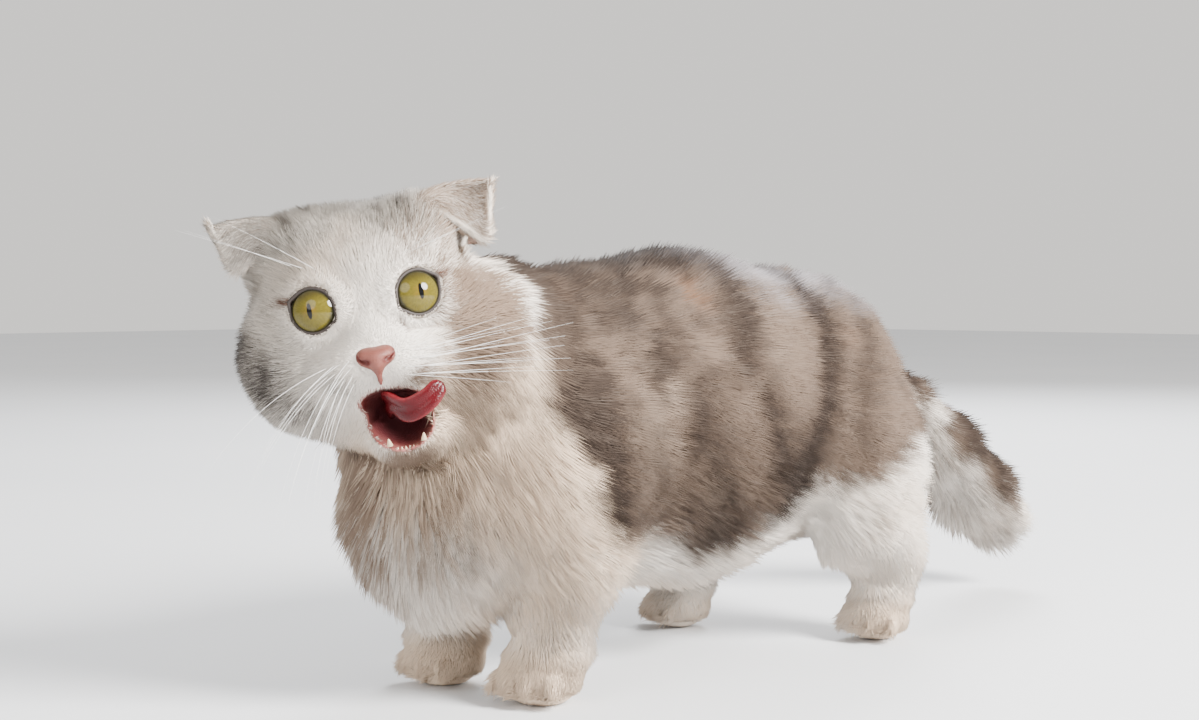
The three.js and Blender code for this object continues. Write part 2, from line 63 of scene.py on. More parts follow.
class Wire:
    """A socket in a material's nodes, so that shader maths reads as it is written."""

    def __init__(self, tree, socket):
        self.tree, self.socket = tree, socket

    def node(self, kind, inputs=None, output=0, **settings):
        made = self.tree.nodes.new(kind)
        for name, value in settings.items():
            setattr(made, name, value)
        for name, value in (inputs or {}).items():
            feed(self.tree, made.inputs[name], value)
        return Wire(self.tree, made.outputs[output])

    def maths(self, operation, *values):
        return self.node("ShaderNodeMath", dict(enumerate(values)), operation=operation)

    def vector(self, operation, *values):
        return self.node("ShaderNodeVectorMath", dict(enumerate(values)), operation=operation)

    def __add__(self, other):
        return self.maths("ADD", self, other)

    def __sub__(self, other):
        return self.maths("SUBTRACT", self, other)

    def __mul__(self, other):
        return self.maths("MULTIPLY", self, other)

    def __pow__(self, other):
        return self.maths("POWER", self, other)

    __radd__ = __add__

    def painted(self, name, output="Fac"):
        return self.node("ShaderNodeAttribute", output=output, attribute_name=name)

    def scaled(self, factor):
        return self.node("ShaderNodeVectorMath", {0: self, "Scale": factor}, operation="SCALE")

    def mixed(self, first, second):
        """The first colour where this is 0 and the second where it is 1."""
        return self.node(
            "ShaderNodeMix", {0: self, 6: first, 7: second}, output=2, data_type="RGBA", clamp_factor=True
        )

    def between(self, low, high, start=0.0, end=1.0):
        """This, eased from start to end as it goes from low to high."""
        return self.node(
            "ShaderNodeMapRange",
            {"Value": self, "From Min": low, "From Max": high, "To Min": start, "To Max": end},
            interpolation_type="SMOOTHSTEP",
        )

    def noise(self, scale, detail=3.0, roughness=0.5):
        return self.node(
            "ShaderNodeTexNoise", {"Vector": self, "Scale": scale, "Detail": detail, "Roughness": roughness}
        )


def finish(name, paint):
    """A material whose Principled sockets are what paint(wire) returns, by name."""
    material = bpy.data.materials.new(name)
    material.use_nodes = True
    tree = material.node_tree
    shader = tree.nodes["Principled BSDF"]
    start = Wire(tree, tree.nodes.new("ShaderNodeTexCoord").outputs["Object"])
    for socket, value in paint(start).items():
        feed(tree, shader.inputs[socket], value)
    return material


def pale_floor(place):
    grain = place.noise(3.0, 4.0)
    return {"Base Color": grain.mixed((0.66, 0.68, 0.71), (0.72, 0.73, 0.75)), "Roughness": 0.85}


floor_mesh = bpy.data.meshes.new("floor")
floor_corners = [(x * FLOOR_REACH, y * FLOOR_REACH, 0) for x, y in ((-1, -1), (1, -1), (1, 1), (-1, 1))]
floor_mesh.from_pydata(floor_corners, [], [(0, 1, 2, 3)])
floor_mesh.materials.append(finish("pale_floor", pale_floor))
floor = bpy.data.objects.new("floor", floor_mesh)
bpy.context.collection.objects.link(floor)


def soft_light(name, place, aim, size, power, colour):
    data = bpy.data.lights.new(name, "AREA")
    data.shape, data.size, data.energy, data.color = "DISK", size, power, colour
    lamp = bpy.data.objects.new(name, data)
    lamp.location = place
    lamp.rotation_euler = (Vector(aim) - Vector(place)).to_track_quat("-Z", "Y").to_euler()
    bpy.context.collection.objects.link(lamp)


soft_light("window", (1.6, 0.22, 1.05), (0, -0.02, 0.09), 0.85, 185, WARM_WHITE)
soft_light("front", (0.5, -1.9, 1.0), (0, -0.1, 0.1), 1.4, 26, (1.0, 0.98, 0.95))
soft_light("rim", (-0.9, 1.5, 1.3), (0, 0.05, 0.12), 0.9, 60, (0.97, 0.98, 1.0))
sky = bpy.data.worlds.new("sky")
sky.use_nodes = True
sky_light = sky.node_tree.nodes["Background"].inputs
sky_light["Color"].default_value = (*WARM_WHITE, 1)
sky_light["Strength"].default_value = 1.05
bpy.context.scene.world = sky

# The camera
# It stands to the cat's left and in front of it, a little above the head's height, and looks slightly down.
# The focal length and the horizon's height over the picture's middle are in pixels of the photograph.
CAMERA_PLACE = np.array([561.2, -627.7, 165.0])
PHOTO_WIDTH, FOCAL_PIXELS, HORIZON_PIXELS = 1199, 1900, 70
SENSOR_WIDTH = 36
camera_data = bpy.data.cameras.new("camera")
camera_data.sensor_width = SENSOR_WIDTH
camera_data.lens = SENSOR_WIDTH * FOCAL_PIXELS / PHOTO_WIDTH
camera = bpy.data.objects.new("camera", camera_data)
camera.location = (CAMERA_PLACE + CAT_TO_ROW) / 1000
look = Vector((-0.683, 0.730, -HORIZON_PIXELS / FOCAL_PIXELS))
camera.rotation_euler = look.to_track_quat("-Z", "Y").to_euler()
bpy.context.collection.objects.link(camera)
bpy.context.scene.camera = camera

# The body's masses
# Flesh and coat together are rounded masses that flow into one another: rib cage, belly, rump, chest, neck,
# four short legs with toes, and the tail. A field is negative inside, and its zero is the coat's outline.

# Each foot's place on the floor, its turn in degrees and its width.
FORE_FEET = (((28, -94), 8, 37), ((-28, -94), -8, 35))
HIND_FEET = (((45, 113), 12, 35), ((-45, 74), -32, 35))
FEET = FORE_FEET + HIND_FEET
TOE_SPACING = 0.235


def mass(centre, radii, turn=0):
    """An ellipsoid, turned about Z by so many degrees."""
    cos, sin = math.cos(math.radians(turn)), math.sin(math.radians(turn))

    def field(x, y, z):
        dx, dy, w = x - centre[0], y - centre[1], z - centre[2]
        u, v = (dx, dy) if turn == 0 else (cos * dx + sin * dy, cos * dy - sin * dx)
        a, b, c = radii
        near = np.sqrt((u / a) ** 2 + (v / b) ** 2 + (w / c) ** 2)
        slope = np.sqrt((u / a**2) ** 2 + (v / b**2) ** 2 + (w / c**2) ** 2)
        return near * (near - 1) / np.maximum(slope, 1e-6)

    return field


def limb(start, end, start_radius, end_radius):
    """A rod that tapers from one round end to the other."""
    axis = np.subtract(end, start)
    length_squared = float(axis @ axis)

    def field(x, y, z):
        dx, dy, dz = x - start[0], y - start[1], z - start[2]
        t = np.clip((dx * axis[0] + dy * axis[1] + dz * axis[2]) / length_squared, 0, 1)
        off = np.sqrt((dx - axis[0] * t) ** 2 + (dy - axis[1] * t) ** 2 + (dz - axis[2] * t) ** 2)
        return off - (start_radius + (end_radius - start_radius) * t)

    return field


def smooth_least(a, b, k):
    h = np.maximum(k - np.abs(a - b), 0) / k
    return np.minimum(a, b) - h * h * k / 4


def blend(k, *fields):
    def field(x, y, z):
        least = fields[0](x, y, z)
        for other in fields[1:]:
            least = smooth_least(least, other(x, y, z), k)
        return least

    return field


trunk = blend(
    26,
    mass((0, -58, 108), (61, 80, 68)),
    mass((0, 18, 108), (66, 92, 77)),
    mass((0, 98, 111), (55, 70, 66)),
    mass((0, -115, 88), (49, 45, 60)),
)
neck = mass((-4, -116, 140), (50, 48, 44))


def fore_shank(x, y):
    out = math.copysign(1, x)
    return limb((x + out * 7, y + 12, 62), (x + out, y + 3, 14), 21.5, 17)


def hind_shank(x, y):
    return blend(
        16,
        limb((x, y - 4, 56), (x, y + 11, 40), 20, 15),
        limb((x, y + 10, 40), (x, y + 5, 14), 15.5, 15),
    )


def fore_leg(x, y):
    return blend(14, mass((math.copysign(40, x), -88, 88), (25, 38, 46)), fore_shank(x, y))


def hind_leg(x, y):
    """A thigh, which swings forward about a third as far as the paw does, and its shank."""
    thigh = mass((math.copysign(41, x), (y + 210) / 3.05, 82), (29, 42, 46))
    return blend(16, thigh, hind_shank(x, y))


def toes(spot, turn, width):
    """A palm and four toes that fan out a little."""
    cos, sin = math.cos(math.radians(turn)), math.sin(math.radians(turn))

    def put(across, forward, height):
        return (spot[0] + across * cos + forward * sin, spot[1] + across * sin - forward * cos, height)

    palm = mass(put(0, 0, 10), (width * 0.47, 17, 12), turn)
    each = [
        mass(put(n * width * TOE_SPACING, 12 - abs(n) * 3, 8), (width * 0.14, 8.8, 8), turn + n * 7)
        for n in (-1.5, -0.5, 0.5, 1.5)
    ]
    return blend(1.0, palm, *each)


shanks = [fore_shank(*foot[0]) for foot in FORE_FEET] + [hind_shank(*foot[0]) for foot in HIND_FEET]
legs = [fore_leg(*foot[0]) for foot in FORE_FEET] + [hind_leg(*foot[0]) for foot in HIND_FEET]
paws = [toes(*foot) for foot in FEET]
body_alone = blend(18, blend(24, trunk, neck), *legs)
TAIL = [(0, 140, 130), (0, 172, 124), (0, 206, 107), (0, 239, 81), (0, 269, 57), (0, 292, 41)]
TAIL_RADII = [16, 13.6, 14.4, 20.3, 22.8, 21.5]
tail = blend(
    9, *[limb(TAIL[n], TAIL[n + 1], TAIL_RADII[n], TAIL_RADII[n + 1]) for n in range(len(TAIL) - 1)]
)

# The head's masses
# In the head's own frame, whose origin is midway between the eyeballs, the face looks along -Y. It is rolled
# to lift its left side and turned to the cat's left. The mouth is hollow and leans to the left like the jaw.
HEAD_TURN, HEAD_ROLL = 50.1, -10.3
HEAD_PLACE = np.array([12.5, -169.0, 160.3])
EYE_OUT = 17.4
EYE_RADIUS = 11
JAW_SHIFT = 5.5
BROW_WIDTH, BROW_DEPTH, BROW_SUNK = 19, 11.1, 4
head_turn = np.array(
    Matrix.Rotation(math.radians(HEAD_TURN), 3, "Z") @ Matrix.Rotation(math.radians(HEAD_ROLL), 3, "Y")
)


def to_head(points):
    return (points - HEAD_PLACE) @ head_turn


def from_head(points):
    return np.asarray(points, float) @ head_turn.T + HEAD_PLACE


skull = blend(
    7,
    blend(
        11,
        mass((0, 32, 4), (46, 41, 36)),
        mass((24, 20, 24), (20, 20, 15)),
        mass((-24, 20, 24), (20, 20, 15)),
        mass((33, 22, -16), (26, 28, 25)),
        mass((-29, 20, -16), (24, 27, 26)),
        mass((27, 22, -30), (27, 26, 25)),
        mass((-22, 20, -26), (25, 25, 22)),
        mass((0, 10, -26), (30, 26, 19)),
        limb((0, 2, 4), (0, -7, -13), 12, 10.5),
    ),
    blend(5, mass((10.5, -7.5, -23.2), (13.5, 13.5, 9.5)), mass((-10.5, -7.5, -23.2), (13.5, 13.5, 9.5))),
)
jaw = blend(
    9,
    mass((JAW_SHIFT + 0.5, -5, -51), (13.5, 13.5, 10)),
    limb((JAW_SHIFT, 0, -49), (26, 22, -38), 11, 13),
    limb((JAW_SHIFT, 0, -49), (-22, 22, -38), 11, 13),
    mass((1, 20, -42), (24, 22, 13)),
)
mouth = blend(
    2, mass((JAW_SHIFT - 0.6, -10, -44.2), (12.2, 26, 11.4)), mass((-1, -14, -37.7), (8.4, 20, 5.6))
)


def eye_way(out):
    way = Vector((out * 0.3, -0.95, 0.06))
    return np.array(way.normalized())


nose_field = blend(
    3,
    mass((0, -18.3, -19.8), (5.8, 6.4, 3.4)),
    mass((0, -18.4, -22.2), (2.7, 5.4, 4.0)),
    mass((4.3, -17.4, -19.6), (3, 4.8, 3)),
    mass((-4.3, -17.4, -19.6), (3, 4.8, 3)),
)


def brow(x, y, z):
    """The broad swell of the face round each eye, level with its lids."""
    swells = []
    for out in (1, -1):
        way = eye_way(out)
        dx = x - out * EYE_OUT
        ahead = dx * way[0] + y * way[1] + z * way[2]
        off_squared = np.maximum(dx * dx + y * y + z * z - ahead * ahead, 0)
        near = np.sqrt(off_squared / BROW_WIDTH**2 + ((ahead + BROW_SUNK) / BROW_DEPTH) ** 2)
        swells.append((near - 1) * 12)
    return np.minimum(*swells)


def socket(x, y, z):
    """The hollow behind each eye's lids."""
    return np.minimum(*[
        np.sqrt((x - out * EYE_OUT) ** 2 + y**2 + z**2) - EYE_RADIUS - 0.15 for out in (1, -1)
    ])


# The skin
# One surface from nose to tail tip, inside the outline by the coat's depth: about a millimetre at the lips,
# lids and toes, up to seven on the cheeks and eight to eleven on the trunk, chest and tail.


def eased(value, low, high):
    t = np.clip((value - low) / (high - low), 0, 1)
    return t * t * (3 - 2 * t)


def face_depth(x, y, z):
    """The coat's depth on the head, in its own frame."""
    from_nose = np.sqrt(x**2 + (y + 20) ** 2 + (z + 22) ** 2)
    from_eyes = np.sqrt((np.abs(x) - EYE_OUT) ** 2 + (y + 6) ** 2 + z**2)
    crown = eased(z, 8, 20) * eased(y, 46, 30)
    deep = 0.9 + 2.2 * eased(from_nose, 12, 42) + (3.6 - 3.0 * crown) * eased(from_nose, 48, 72)
    return np.minimum(deep, 0.8 + 3 * eased(from_eyes, 9, 20) + 4 * eased(from_eyes, 20, 34))


def body_depth(x, y, z):
    """The coat's depth on the trunk, legs and tail."""
    near_leg = np.minimum.reduce([shank(x, y, z) for shank in shanks])
    on_leg = eased(near_leg, 9, -1) * eased(z, 66, 40)
    chest = eased(y, -110, -140) * eased(z, 60, 90)
    deep = 8.2 + 2.2 * chest + 0.8 * eased(y, 200, 260)
    return deep + (4.4 - deep) * on_leg - 2.9 * on_leg * eased(z, 30, 16)


def body_outline(x, y, z):
    whole = blend(9, body_alone, tail)(x, y, z)
    low = np.minimum.reduce([paw(x, y, z) for paw in paws])
    return smooth_least(whole, low, 3)


def head_outline(x, y, z):
    """The head and jaw in the head's frame."""
    return smooth_least(skull(x, y, z), jaw(x, y, z), 5)


def in_head(x, y, z):
    dx, dy, dz = x - HEAD_PLACE[0], y - HEAD_PLACE[1], z - HEAD_PLACE[2]
    return [dx * head_turn[0, n] + dy * head_turn[1, n] + dz * head_turn[2, n] for n in range(3)]


def skin_field(x, y, z):
    body = body_outline(x, y, z) + body_depth(x, y, z)
    hx, hy, hz = in_head(x, y, z)
    head = smooth_least(head_outline(hx, hy, hz) + face_depth(hx, hy, hz), brow(hx, hy, hz), 6)
    both = smooth_least(body, head, 9)
    hollow = np.minimum(mouth(hx, hy, hz), socket(hx, hy, hz))
    carved = -smooth_least(-both, hollow, 1.2)
    return np.maximum(carved, 0.6 - z)


def sampled(field, xs, ys, zs, block=14):
    """The field on a grid, worked out only in the blocks that the surface may cross."""
    values = np.empty((len(xs), len(ys), len(zs)), np.float32)
    for i in range(0, len(xs), block):
        for j in range(0, len(ys), block):
            for k in range(0, len(zs), block):
                x, y, z = xs[i : i + block], ys[j : j + block], zs[k : k + block]
                middle = [np.array([(a[0] + a[-1]) / 2]) for a in (x, y, z)]
                reach = math.dist([x[0], y[0], z[0]], [x[-1], y[-1], z[-1]]) / 2
                level = field(*middle)[0]
                if abs(level) > 1.5 * reach + 8:
                    values[i : i + block, j : j + block, k : k + block] = level
                else:
                    values[i : i + block, j : j + block, k : k + block] = field(
                        x[:, None, None], y[None, :, None], z[None, None, :]
                    )
    return values


def drawn(field, xs, ys, zs):
    """Points and quads of the surface where the field is zero, with one point in each cell it crosses."""
    values = sampled(field, xs, ys, zs)
    inside = values < 0
    corners = [(a, b, c) for a in (0, 1) for b in (0, 1) for c in (0, 1)]
    nx, ny, nz = (n - 1 for n in values.shape)
    count = sum(inside[a : a + nx, b : b + ny, c : c + nz].astype(np.int8) for a, b, c in corners)
    cell = np.argwhere((count > 0) & (count < 8))
    number = np.full((nx, ny, nz), -1, np.int32)
    number[tuple(cell.T)] = np.arange(len(cell))
    total, crossings = np.zeros((len(cell), 3)), np.zeros(len(cell))
    steps = [np.diff(a) for a in (xs, ys, zs)]
    for start in corners:
        for axis in range(3):
            if start[axis]:
                continue
            end = tuple(1 if n == axis else start[n] for n in range(3))
            first = values[tuple((cell + start).T)]
            second = values[tuple((cell + end).T)]
            crossed = (first < 0) != (second < 0)
            share = np.where(crossed, first / np.where(crossed, first - second, 1), 0)
            here = np.array(start, float)[None] + share[:, None] * (np.array(end) - np.array(start))
            total += here * crossed[:, None]
            crossings += crossed
    local = total / crossings[:, None]
    points = np.stack(
        [a[cell[:, n]] + local[:, n] * steps[n][cell[:, n]] for n, a in enumerate((xs, ys, zs))], 1
    )
    quads = []
    around = [(0, 0), (1, 0), (1, 1), (0, 1)]
    for axis in range(3):
        ahead = [slice(None)] * 3
        behind = [slice(None)] * 3
        ahead[axis], behind[axis] = slice(1, None), slice(None, -1)
        first, second = inside[tuple(behind)], inside[tuple(ahead)]
        for flipped in (False, True):
            found = np.argwhere((first & ~second) if not flipped else (~first & second))
            ring = []
            for a, b in around:
                back = np.zeros(3, int)
                back[(axis + 1) % 3], back[(axis + 2) % 3] = a, b
                ring.append(number[tuple((found - back).T)])
            ring = np.stack(ring, 1)
            quads.append(ring[:, ::-1] if flipped else ring)
    return points, np.concatenate(quads)


def slopes(field, points, step=0.25):
    """The field's slope at each point."""
    found = np.empty_like(points)
    for axis in range(3):
        shift = np.zeros(3)
        shift[axis] = step
        ahead, behind = points + shift, points - shift
        found[:, axis] = (field(*ahead.T) - field(*behind.T)) / (2 * step)
    return found


def settled(field, points, rounds=3, most=1.0):
    """The points moved onto the surface."""
    for _ in range(rounds):
        slope = slopes(field, points)
        length = np.maximum(np.linalg.norm(slope, axis=1), 1e-6)
        shift = np.clip(field(*points.T) / length, -most, most)
        points = points - slope / length[:, None] * shift[:, None]
    return points


def piece_from(name, points, faces, material):
    """A mesh object from points in the cat's frame."""
    mesh = bpy.data.meshes.new(name)
    placed = (np.asarray(points, float) + CAT_TO_ROW) / 1000
    mesh.from_pydata(placed.tolist(), [], faces.tolist() if isinstance(faces, np.ndarray) else faces)
    mesh.materials.append(material)
    mesh.polygons.foreach_set("use_smooth", [True] * len(mesh.polygons))
    mesh.update()
    made = bpy.data.objects.new(name, mesh)
    bpy.context.collection.objects.link(made)
    return made


def stepped(low, high, fine, coarse, band):
    """Grid lines from low to high, fine inside the band and coarse outside it."""
    lines = [low]
    while lines[-1] < high:
        close = band[0] <= lines[-1] < band[1]
        lines.append(lines[-1] + (fine if close else coarse))
    return np.array(lines)


FINE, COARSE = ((1.5, 2.8))
grid = (
    stepped(-80, 80, FINE, FINE * 1.2, (-36, 62)),
    stepped(-216, 318, FINE, COARSE, (-214, -118)),
    np.concatenate([np.arange(-2.4, 27, FINE), stepped(28, 212, FINE, COARSE, (100, 212))]),
)
skin_points, skin_faces = drawn(skin_field, *grid)
skin_points = settled(skin_field, skin_points)

# The markings
# White below and in front, with a brown-grey tabby saddle over the back, flanks and tail, a grey cap, a dark
# right cheek and a warm left one. Painted light goes in with them: a painted rim sheen along the top of the
# back, a painted highlight on the bend of the tail, and painted shade on the chest, in the crease under the
# head, along the left cheek's edge, under the chin, on the right muzzle pad and between the toes. Each is a
# soft mask from 0 to 1 that the roots take up.

# The saddle's front edge as height and Y, and its hem as Y and height.
SADDLE_FRONT = (
    (66, -92), (77, -99), (101, -105), (115, -110), (128, -115), (145, -118), (165, -117), (190, -117),
)
SADDLE_HEM = (
    (-100, 76), (-80, 71), (-60, 74), (-30, 60), (-12, 56), (14, 66), (47, 77), (86, 87), (105, 96),
    (130, 106),
)

# Each streak down the flank as a path through Y and height, with its width and strength.
STREAKS = (
    (((-106, 176), (-100, 161), (-104, 136)), 16, 0.6),
    (((-104, 136), (-103, 126), (-97, 113), (-92, 101), (-93, 88), (-94, 78)), 11, 1.0),
    (((-66, 170), (-68, 152)), 16, 0.6),
    (((-40, 160), (-46, 140)), 12, 0.5),
    (((4, 166), (0, 156), (-8, 139)), 12, 0.85),
    (((66, 160), (63, 145), (50, 120), (36, 99), (28, 78)), 12, 0.95),
    (((4, 122), (10, 101), (22, 86)), 10, 0.75),
    (((-40, 124), (-38, 106)), 10, 0.7),
    (((-30, 118), (-27, 94), (-18, 72), (-6, 68)), 11, 0.5),
    (((-70, 108), (-62, 90)), 9, 0.45),
    (((98, 152), (90, 128), (78, 104)), 10, 0.5),
)


def patchy(points, size, seed):
    """Soft random patches of about this size, from -1 to 1."""
    lattice = np.random.default_rng(seed).uniform(-1, 1, (16, 16, 16))
    scaled = points / size + 40
    cell = np.floor(scaled).astype(int)
    part = scaled - cell
    part = part * part * (3 - 2 * part)
    total = np.zeros(len(points))
    for a, b, c in ((a, b, c) for a in (0, 1) for b in (0, 1) for c in (0, 1)):
        weight = np.prod(np.where([a, b, c], part, 1 - part), axis=1)
        total += weight * lattice[tuple(((cell + (a, b, c)) % 16).T)]
    return total


def spots(points, *rows):
    """The strongest of some soft spots, each given as its centre, radii and strength."""
    return np.maximum.reduce([
        strength * np.exp(-(np.linalg.norm((points - centre) / radii, axis=1) ** 2))
        for centre, radii, strength in rows
    ])


def streak(y, z, path, width):
    """How near each place is to a line down the flank, from 0 to 1."""
    nearest = np.full(len(y), 1e9)
    for (y0, z0), (y1, z1) in zip(path, path[1:]):
        dy, dz = y1 - y0, z1 - z0
        t = np.clip(((y - y0) * dy + (z - z0) * dz) / (dy * dy + dz * dz), 0, 1)
        nearest = np.minimum(nearest, np.hypot(y - y0 - dy * t, z - z0 - dz * t))
    return np.exp(-((nearest / width) ** 2))


def shade_between_toes(points):
    """Painted shade in the lines between the toes, from 0 to 1."""
    x, y, z = points.T
    lines = np.zeros(len(points))
    for (px, py), turn, width in FEET:
        cos, sin = math.cos(math.radians(turn)), math.sin(math.radians(turn))
        across = ((x - px) * cos + (y - py) * sin) / (TOE_SPACING * width)
        forward = (x - px) * sin - (y - py) * cos
        nearest = np.abs(across - np.clip(np.round(across), -1, 1))
        near = np.exp(-((nearest / 0.13) ** 2)) * eased(forward, 8, 13) * eased(z, 16, 11)
        lines = np.maximum(lines, near * (np.hypot(x - px, y - py) < 30))
    return lines


def body_marks(points, normals):
    """The masks of the trunk, legs and tail."""
    x, y, z = points.T
    right = x < 0
    coarse, fine = patchy(points, 17, 3), patchy(points, 7, 4)
    front = y - np.interp(z, *zip(*SADDLE_FRONT))
    hem = z - np.interp(y, *zip(*SADDLE_HEM))
    saddle = eased(front + 5 * coarse + 4 * fine, -7, 11) * eased(hem + 6 * coarse + 4 * fine, -13, 15)
    on_tail = eased(y, 132, 160)
    saddle = saddle + (1 - saddle) * on_tail
    bent_y = y + 5 * coarse + 3 * fine + np.where(right, 7 + 9 * patchy(points, 60, 8), 0)
    bent_z = z + 5 * patchy(points, 15, 5)
    dark = np.zeros(len(points))
    for path, width, strength in STREAKS:
        dark = np.maximum(dark, strength * streak(bent_y, bent_z, path, width))
    spine = eased(normals[:, 2], 0.72, 0.95) * eased(z, 160, 172) * (1 - eased(y, -10, 45))
    mottled = eased(patchy(points * (1, 1, 0.6), 9, 6) + 0.6 * patchy(points, 4.5, 7), -0.25, 0.75) * 0.62
    front_half = 1 - eased(y, -70, 10)
    shoulder = spots(points, ((32, -76, 168), (34, 32, 20), 1))
    dark = np.maximum.reduce([dark, spine * 0.8, shoulder * (0.55 + 0.25 * fine)])
    dark = np.maximum(dark, mottled * (0.6 + 0.8 * front_half * eased(z, 115, 140)))
    rings = 0.5 + 0.5 * np.sin(y / 26 * 2 * np.pi + 1.3 * coarse + 1.2)
    above = eased(normals[:, 2], -0.5, 0.35)
    tip = eased(y, 262, 292)
    tail_dark = (0.42 + 0.5 * rings) * (0.12 + 0.88 * above) * (1 - 0.92 * tip)
    dark = dark * (1 - on_tail) + tail_dark * on_tail
    # A painted rim sheen: the upward-facing top of the back is painted a lighter bluish grey, in patches.
    silver = eased(normals[:, 2], 0.5, 0.95) * eased(y + 14 * coarse, -45, 40) * (1 - on_tail)
    silver = silver * (0.62 + 0.3 * coarse + 0.3 * fine)
    ginger = spots(
        points,
        ((40, -19, 164), (13, 12, 9), 1),
        ((33, -93, 168), (9, 9, 8), 1),
        ((47, 82, 148), (10, 10, 10), 0.5),
        ((-36, 8, 162), (13, 12, 9), 0.8),
    )
    tail_ginger = eased(above, 0.75, 1) * eased(y, 170, 190) * (1 - eased(y, 225, 250)) * 0.45
    ginger = np.maximum(ginger, tail_ginger) * eased(fine, -0.6, 0.2)
    pale = spots(
        points,
        ((64, -66, 111), (20, 15, 20), 0.65),
        ((61, -26, 84), (20, 7, 8), 1),
        ((62, 14, 138), (20, 11, 13), 0.5),
        ((60, -56, 128), (20, 12, 12), 0.8),
    )
    pale = np.maximum(pale, on_tail * np.maximum(tip, 0.85 - 0.85 * above))
    # A painted highlight on the top of the tail's bend, where the saddle is taken away.
    lit_bend = spots(points, ((8, 212, 106), (16, 15, 9), 0.75))
    saddle = saddle * (1 - on_tail * np.maximum.reduce([0.95 * tip, 0.7 - 0.7 * above, lit_bend]))
    # Painted shade on the front of the chest under the head, which goes into the warm mask.
    chest_shade = spots(
        points, ((-14, -158, 80), (26, 24, 46), 0.7), ((22, -152, 78), (28, 24, 26), 0.5)
    )
    return {
        "saddle": saddle, "dark": dark, "silver": silver, "ginger": ginger, "pale": pale, "warm": chest_shade,
    }


def head_marks(points):
    """The masks of the head."""
    points_q = to_head(points)
    qx, qy, qz = points_q.T
    coarse, fine = patchy(points, 17, 3), patchy(points, 7, 4)
    crown = eased(qz + 3 * patchy(points, 9, 9) + 0.25 * np.abs(qx) - 0.35 * qy, 17, 31)
    sides = np.maximum(
        eased(np.abs(qx) + 2 * fine + 0.3 * qy, 30, 44) * 0.4, eased(-qx + 0.3 * qy, 6, 26) * 0.42
    )
    blaze = np.exp(-((qx / (7 + 0.25 * np.maximum(8 - qz, 0))) ** 2)) * eased(-qy, -14, 2)
    ticks = eased(patchy(points_q * (1, 0.35, 0.35), 2.6, 10), -0.1, 0.6)
    # A dark grey right cheek; the last spot is painted shade on the right muzzle pad.
    dark_cheek_and_shade = spots(
        points_q,
        ((-47, 8, -10), (8, 24, 14), 0.8),
        ((-40, 0, -22), (11, 18, 14), 0.85),
        ((-31, 0, -33), (12, 15, 8), 0.5),
        ((-48, 22, 2), (9, 16, 13), 0.7),
        ((-15, -19, -29), (9, 9, 8), 0.34),
    )
    dark_cheek_and_shade = dark_cheek_and_shade * (0.85 + 0.28 * patchy(points_q, 3.2, 15))
    # A warm tint on the left cheek, muzzle and forehead; the spot at the cheek's outer edge is partly painted
    # shade, and the lowest spot is a painted shadow under the chin.
    warm_cheek_and_shade = spots(
        points_q,
        ((43, 0, -4), (14, 15, 16), 1.7),
        ((36, -6, -18), (12, 13, 13), 1.6),
        ((48, 5, -14), (9, 11, 19), 1.6),
        ((29, -3, -36), (13, 14, 10), 0.5),
        ((26, -6, 19), (16, 12, 12), 0.75),
        ((15, -15, -30), (7, 9, 6), 0.8),
        ((4, -13, -61), (18, 14, 7), 1.3),
    )
    warm_side = eased(qx + 2 * coarse, 12, 30) * eased(qy + 0.4 * qz, 26, 14) * 0.6
    warm_cheek_and_shade = np.maximum(warm_cheek_and_shade, warm_side) * (0.82 + 0.3 * patchy(points_q, 3.4, 16))
    ruff = eased(qy + 3 * fine, 20, 30) * eased(20 - qz, -8, 14)
    # Painted shade on the right muzzle pad, which goes into the cap mask.
    shaded_pad = spots(points_q, ((-15, -19, -29), (9, 9, 8), 0.95))
    cap = np.maximum.reduce([crown * 0.8, sides, shaded_pad]) * (1 - 0.9 * blaze) * (1 - ruff)
    corner = spots(
        points_q,
        ((EYE_OUT + 11.5, -4, 5), (5.5, 7, 2.2), 0.8),
        ((-EYE_OUT - 11.5, -4, 5), (5.5, 7, 2.2), 0.8),
        ((12.2, -12, -9.5), (1.9, 5, 5), 0.7),
        ((-12, -12, -7.5), (1.4, 5, 2.6), 0.4),
        ((-8, -19, -31.5), (3.4, 5, 1.6), 0.5),
    )
    nape = eased(qy, 40, 60) * eased(qz, -8, 20)
    cap = np.maximum(cap, nape * 0.85)
    return {
        "dark": cap * ticks * 0.75, "cap": cap, "grey": dark_cheek_and_shade * (1 - ruff),
        "warm": warm_cheek_and_shade * (1 - 0.7 * ruff), "stain": corner,
    }


def markings(points, normals, on_head):
    """Every mask over the whole skin, the body's and the head's faded into one another."""
    body, head = body_marks(points, normals), head_marks(points)
    cream = 0.25 + 0.3 * patchy(points, 34, 11) + 0.45 * eased(points[:, 2], 34, 8)
    # A cream band across the chest under the head, partly painted shade.
    chest_cream_and_shade = spots(points, ((20, -140, 100), (60, 30, 30), 0.5))
    side_cream = spots(points, ((50, -95, 80), (40, 40, 50), 0.5))
    masks = {name: body[name] * (1 - on_head) for name in ("saddle", "dark", "silver", "ginger", "pale")}
    masks["dark"] = masks["dark"] + head["dark"] * on_head
    masks |= {name: head[name] * on_head for name in ("cap", "grey")}
    # The warm mask holds the head's warm tint with its painted shade, and the chest's painted shade.
    masks["warm"] = np.maximum(head["warm"] * eased(on_head, 0.1, 0.6), body["warm"] * (1 - on_head))
    # Dark marks at the eyes' corners, and painted shade between the toes.
    masks["stain"] = np.maximum(head["stain"] * on_head, 0.5 * shade_between_toes(points))
    masks["cream"] = cream + chest_cream_and_shade + side_cream
    return {name: np.clip(values, 0, 1) for name, values in masks.items()}


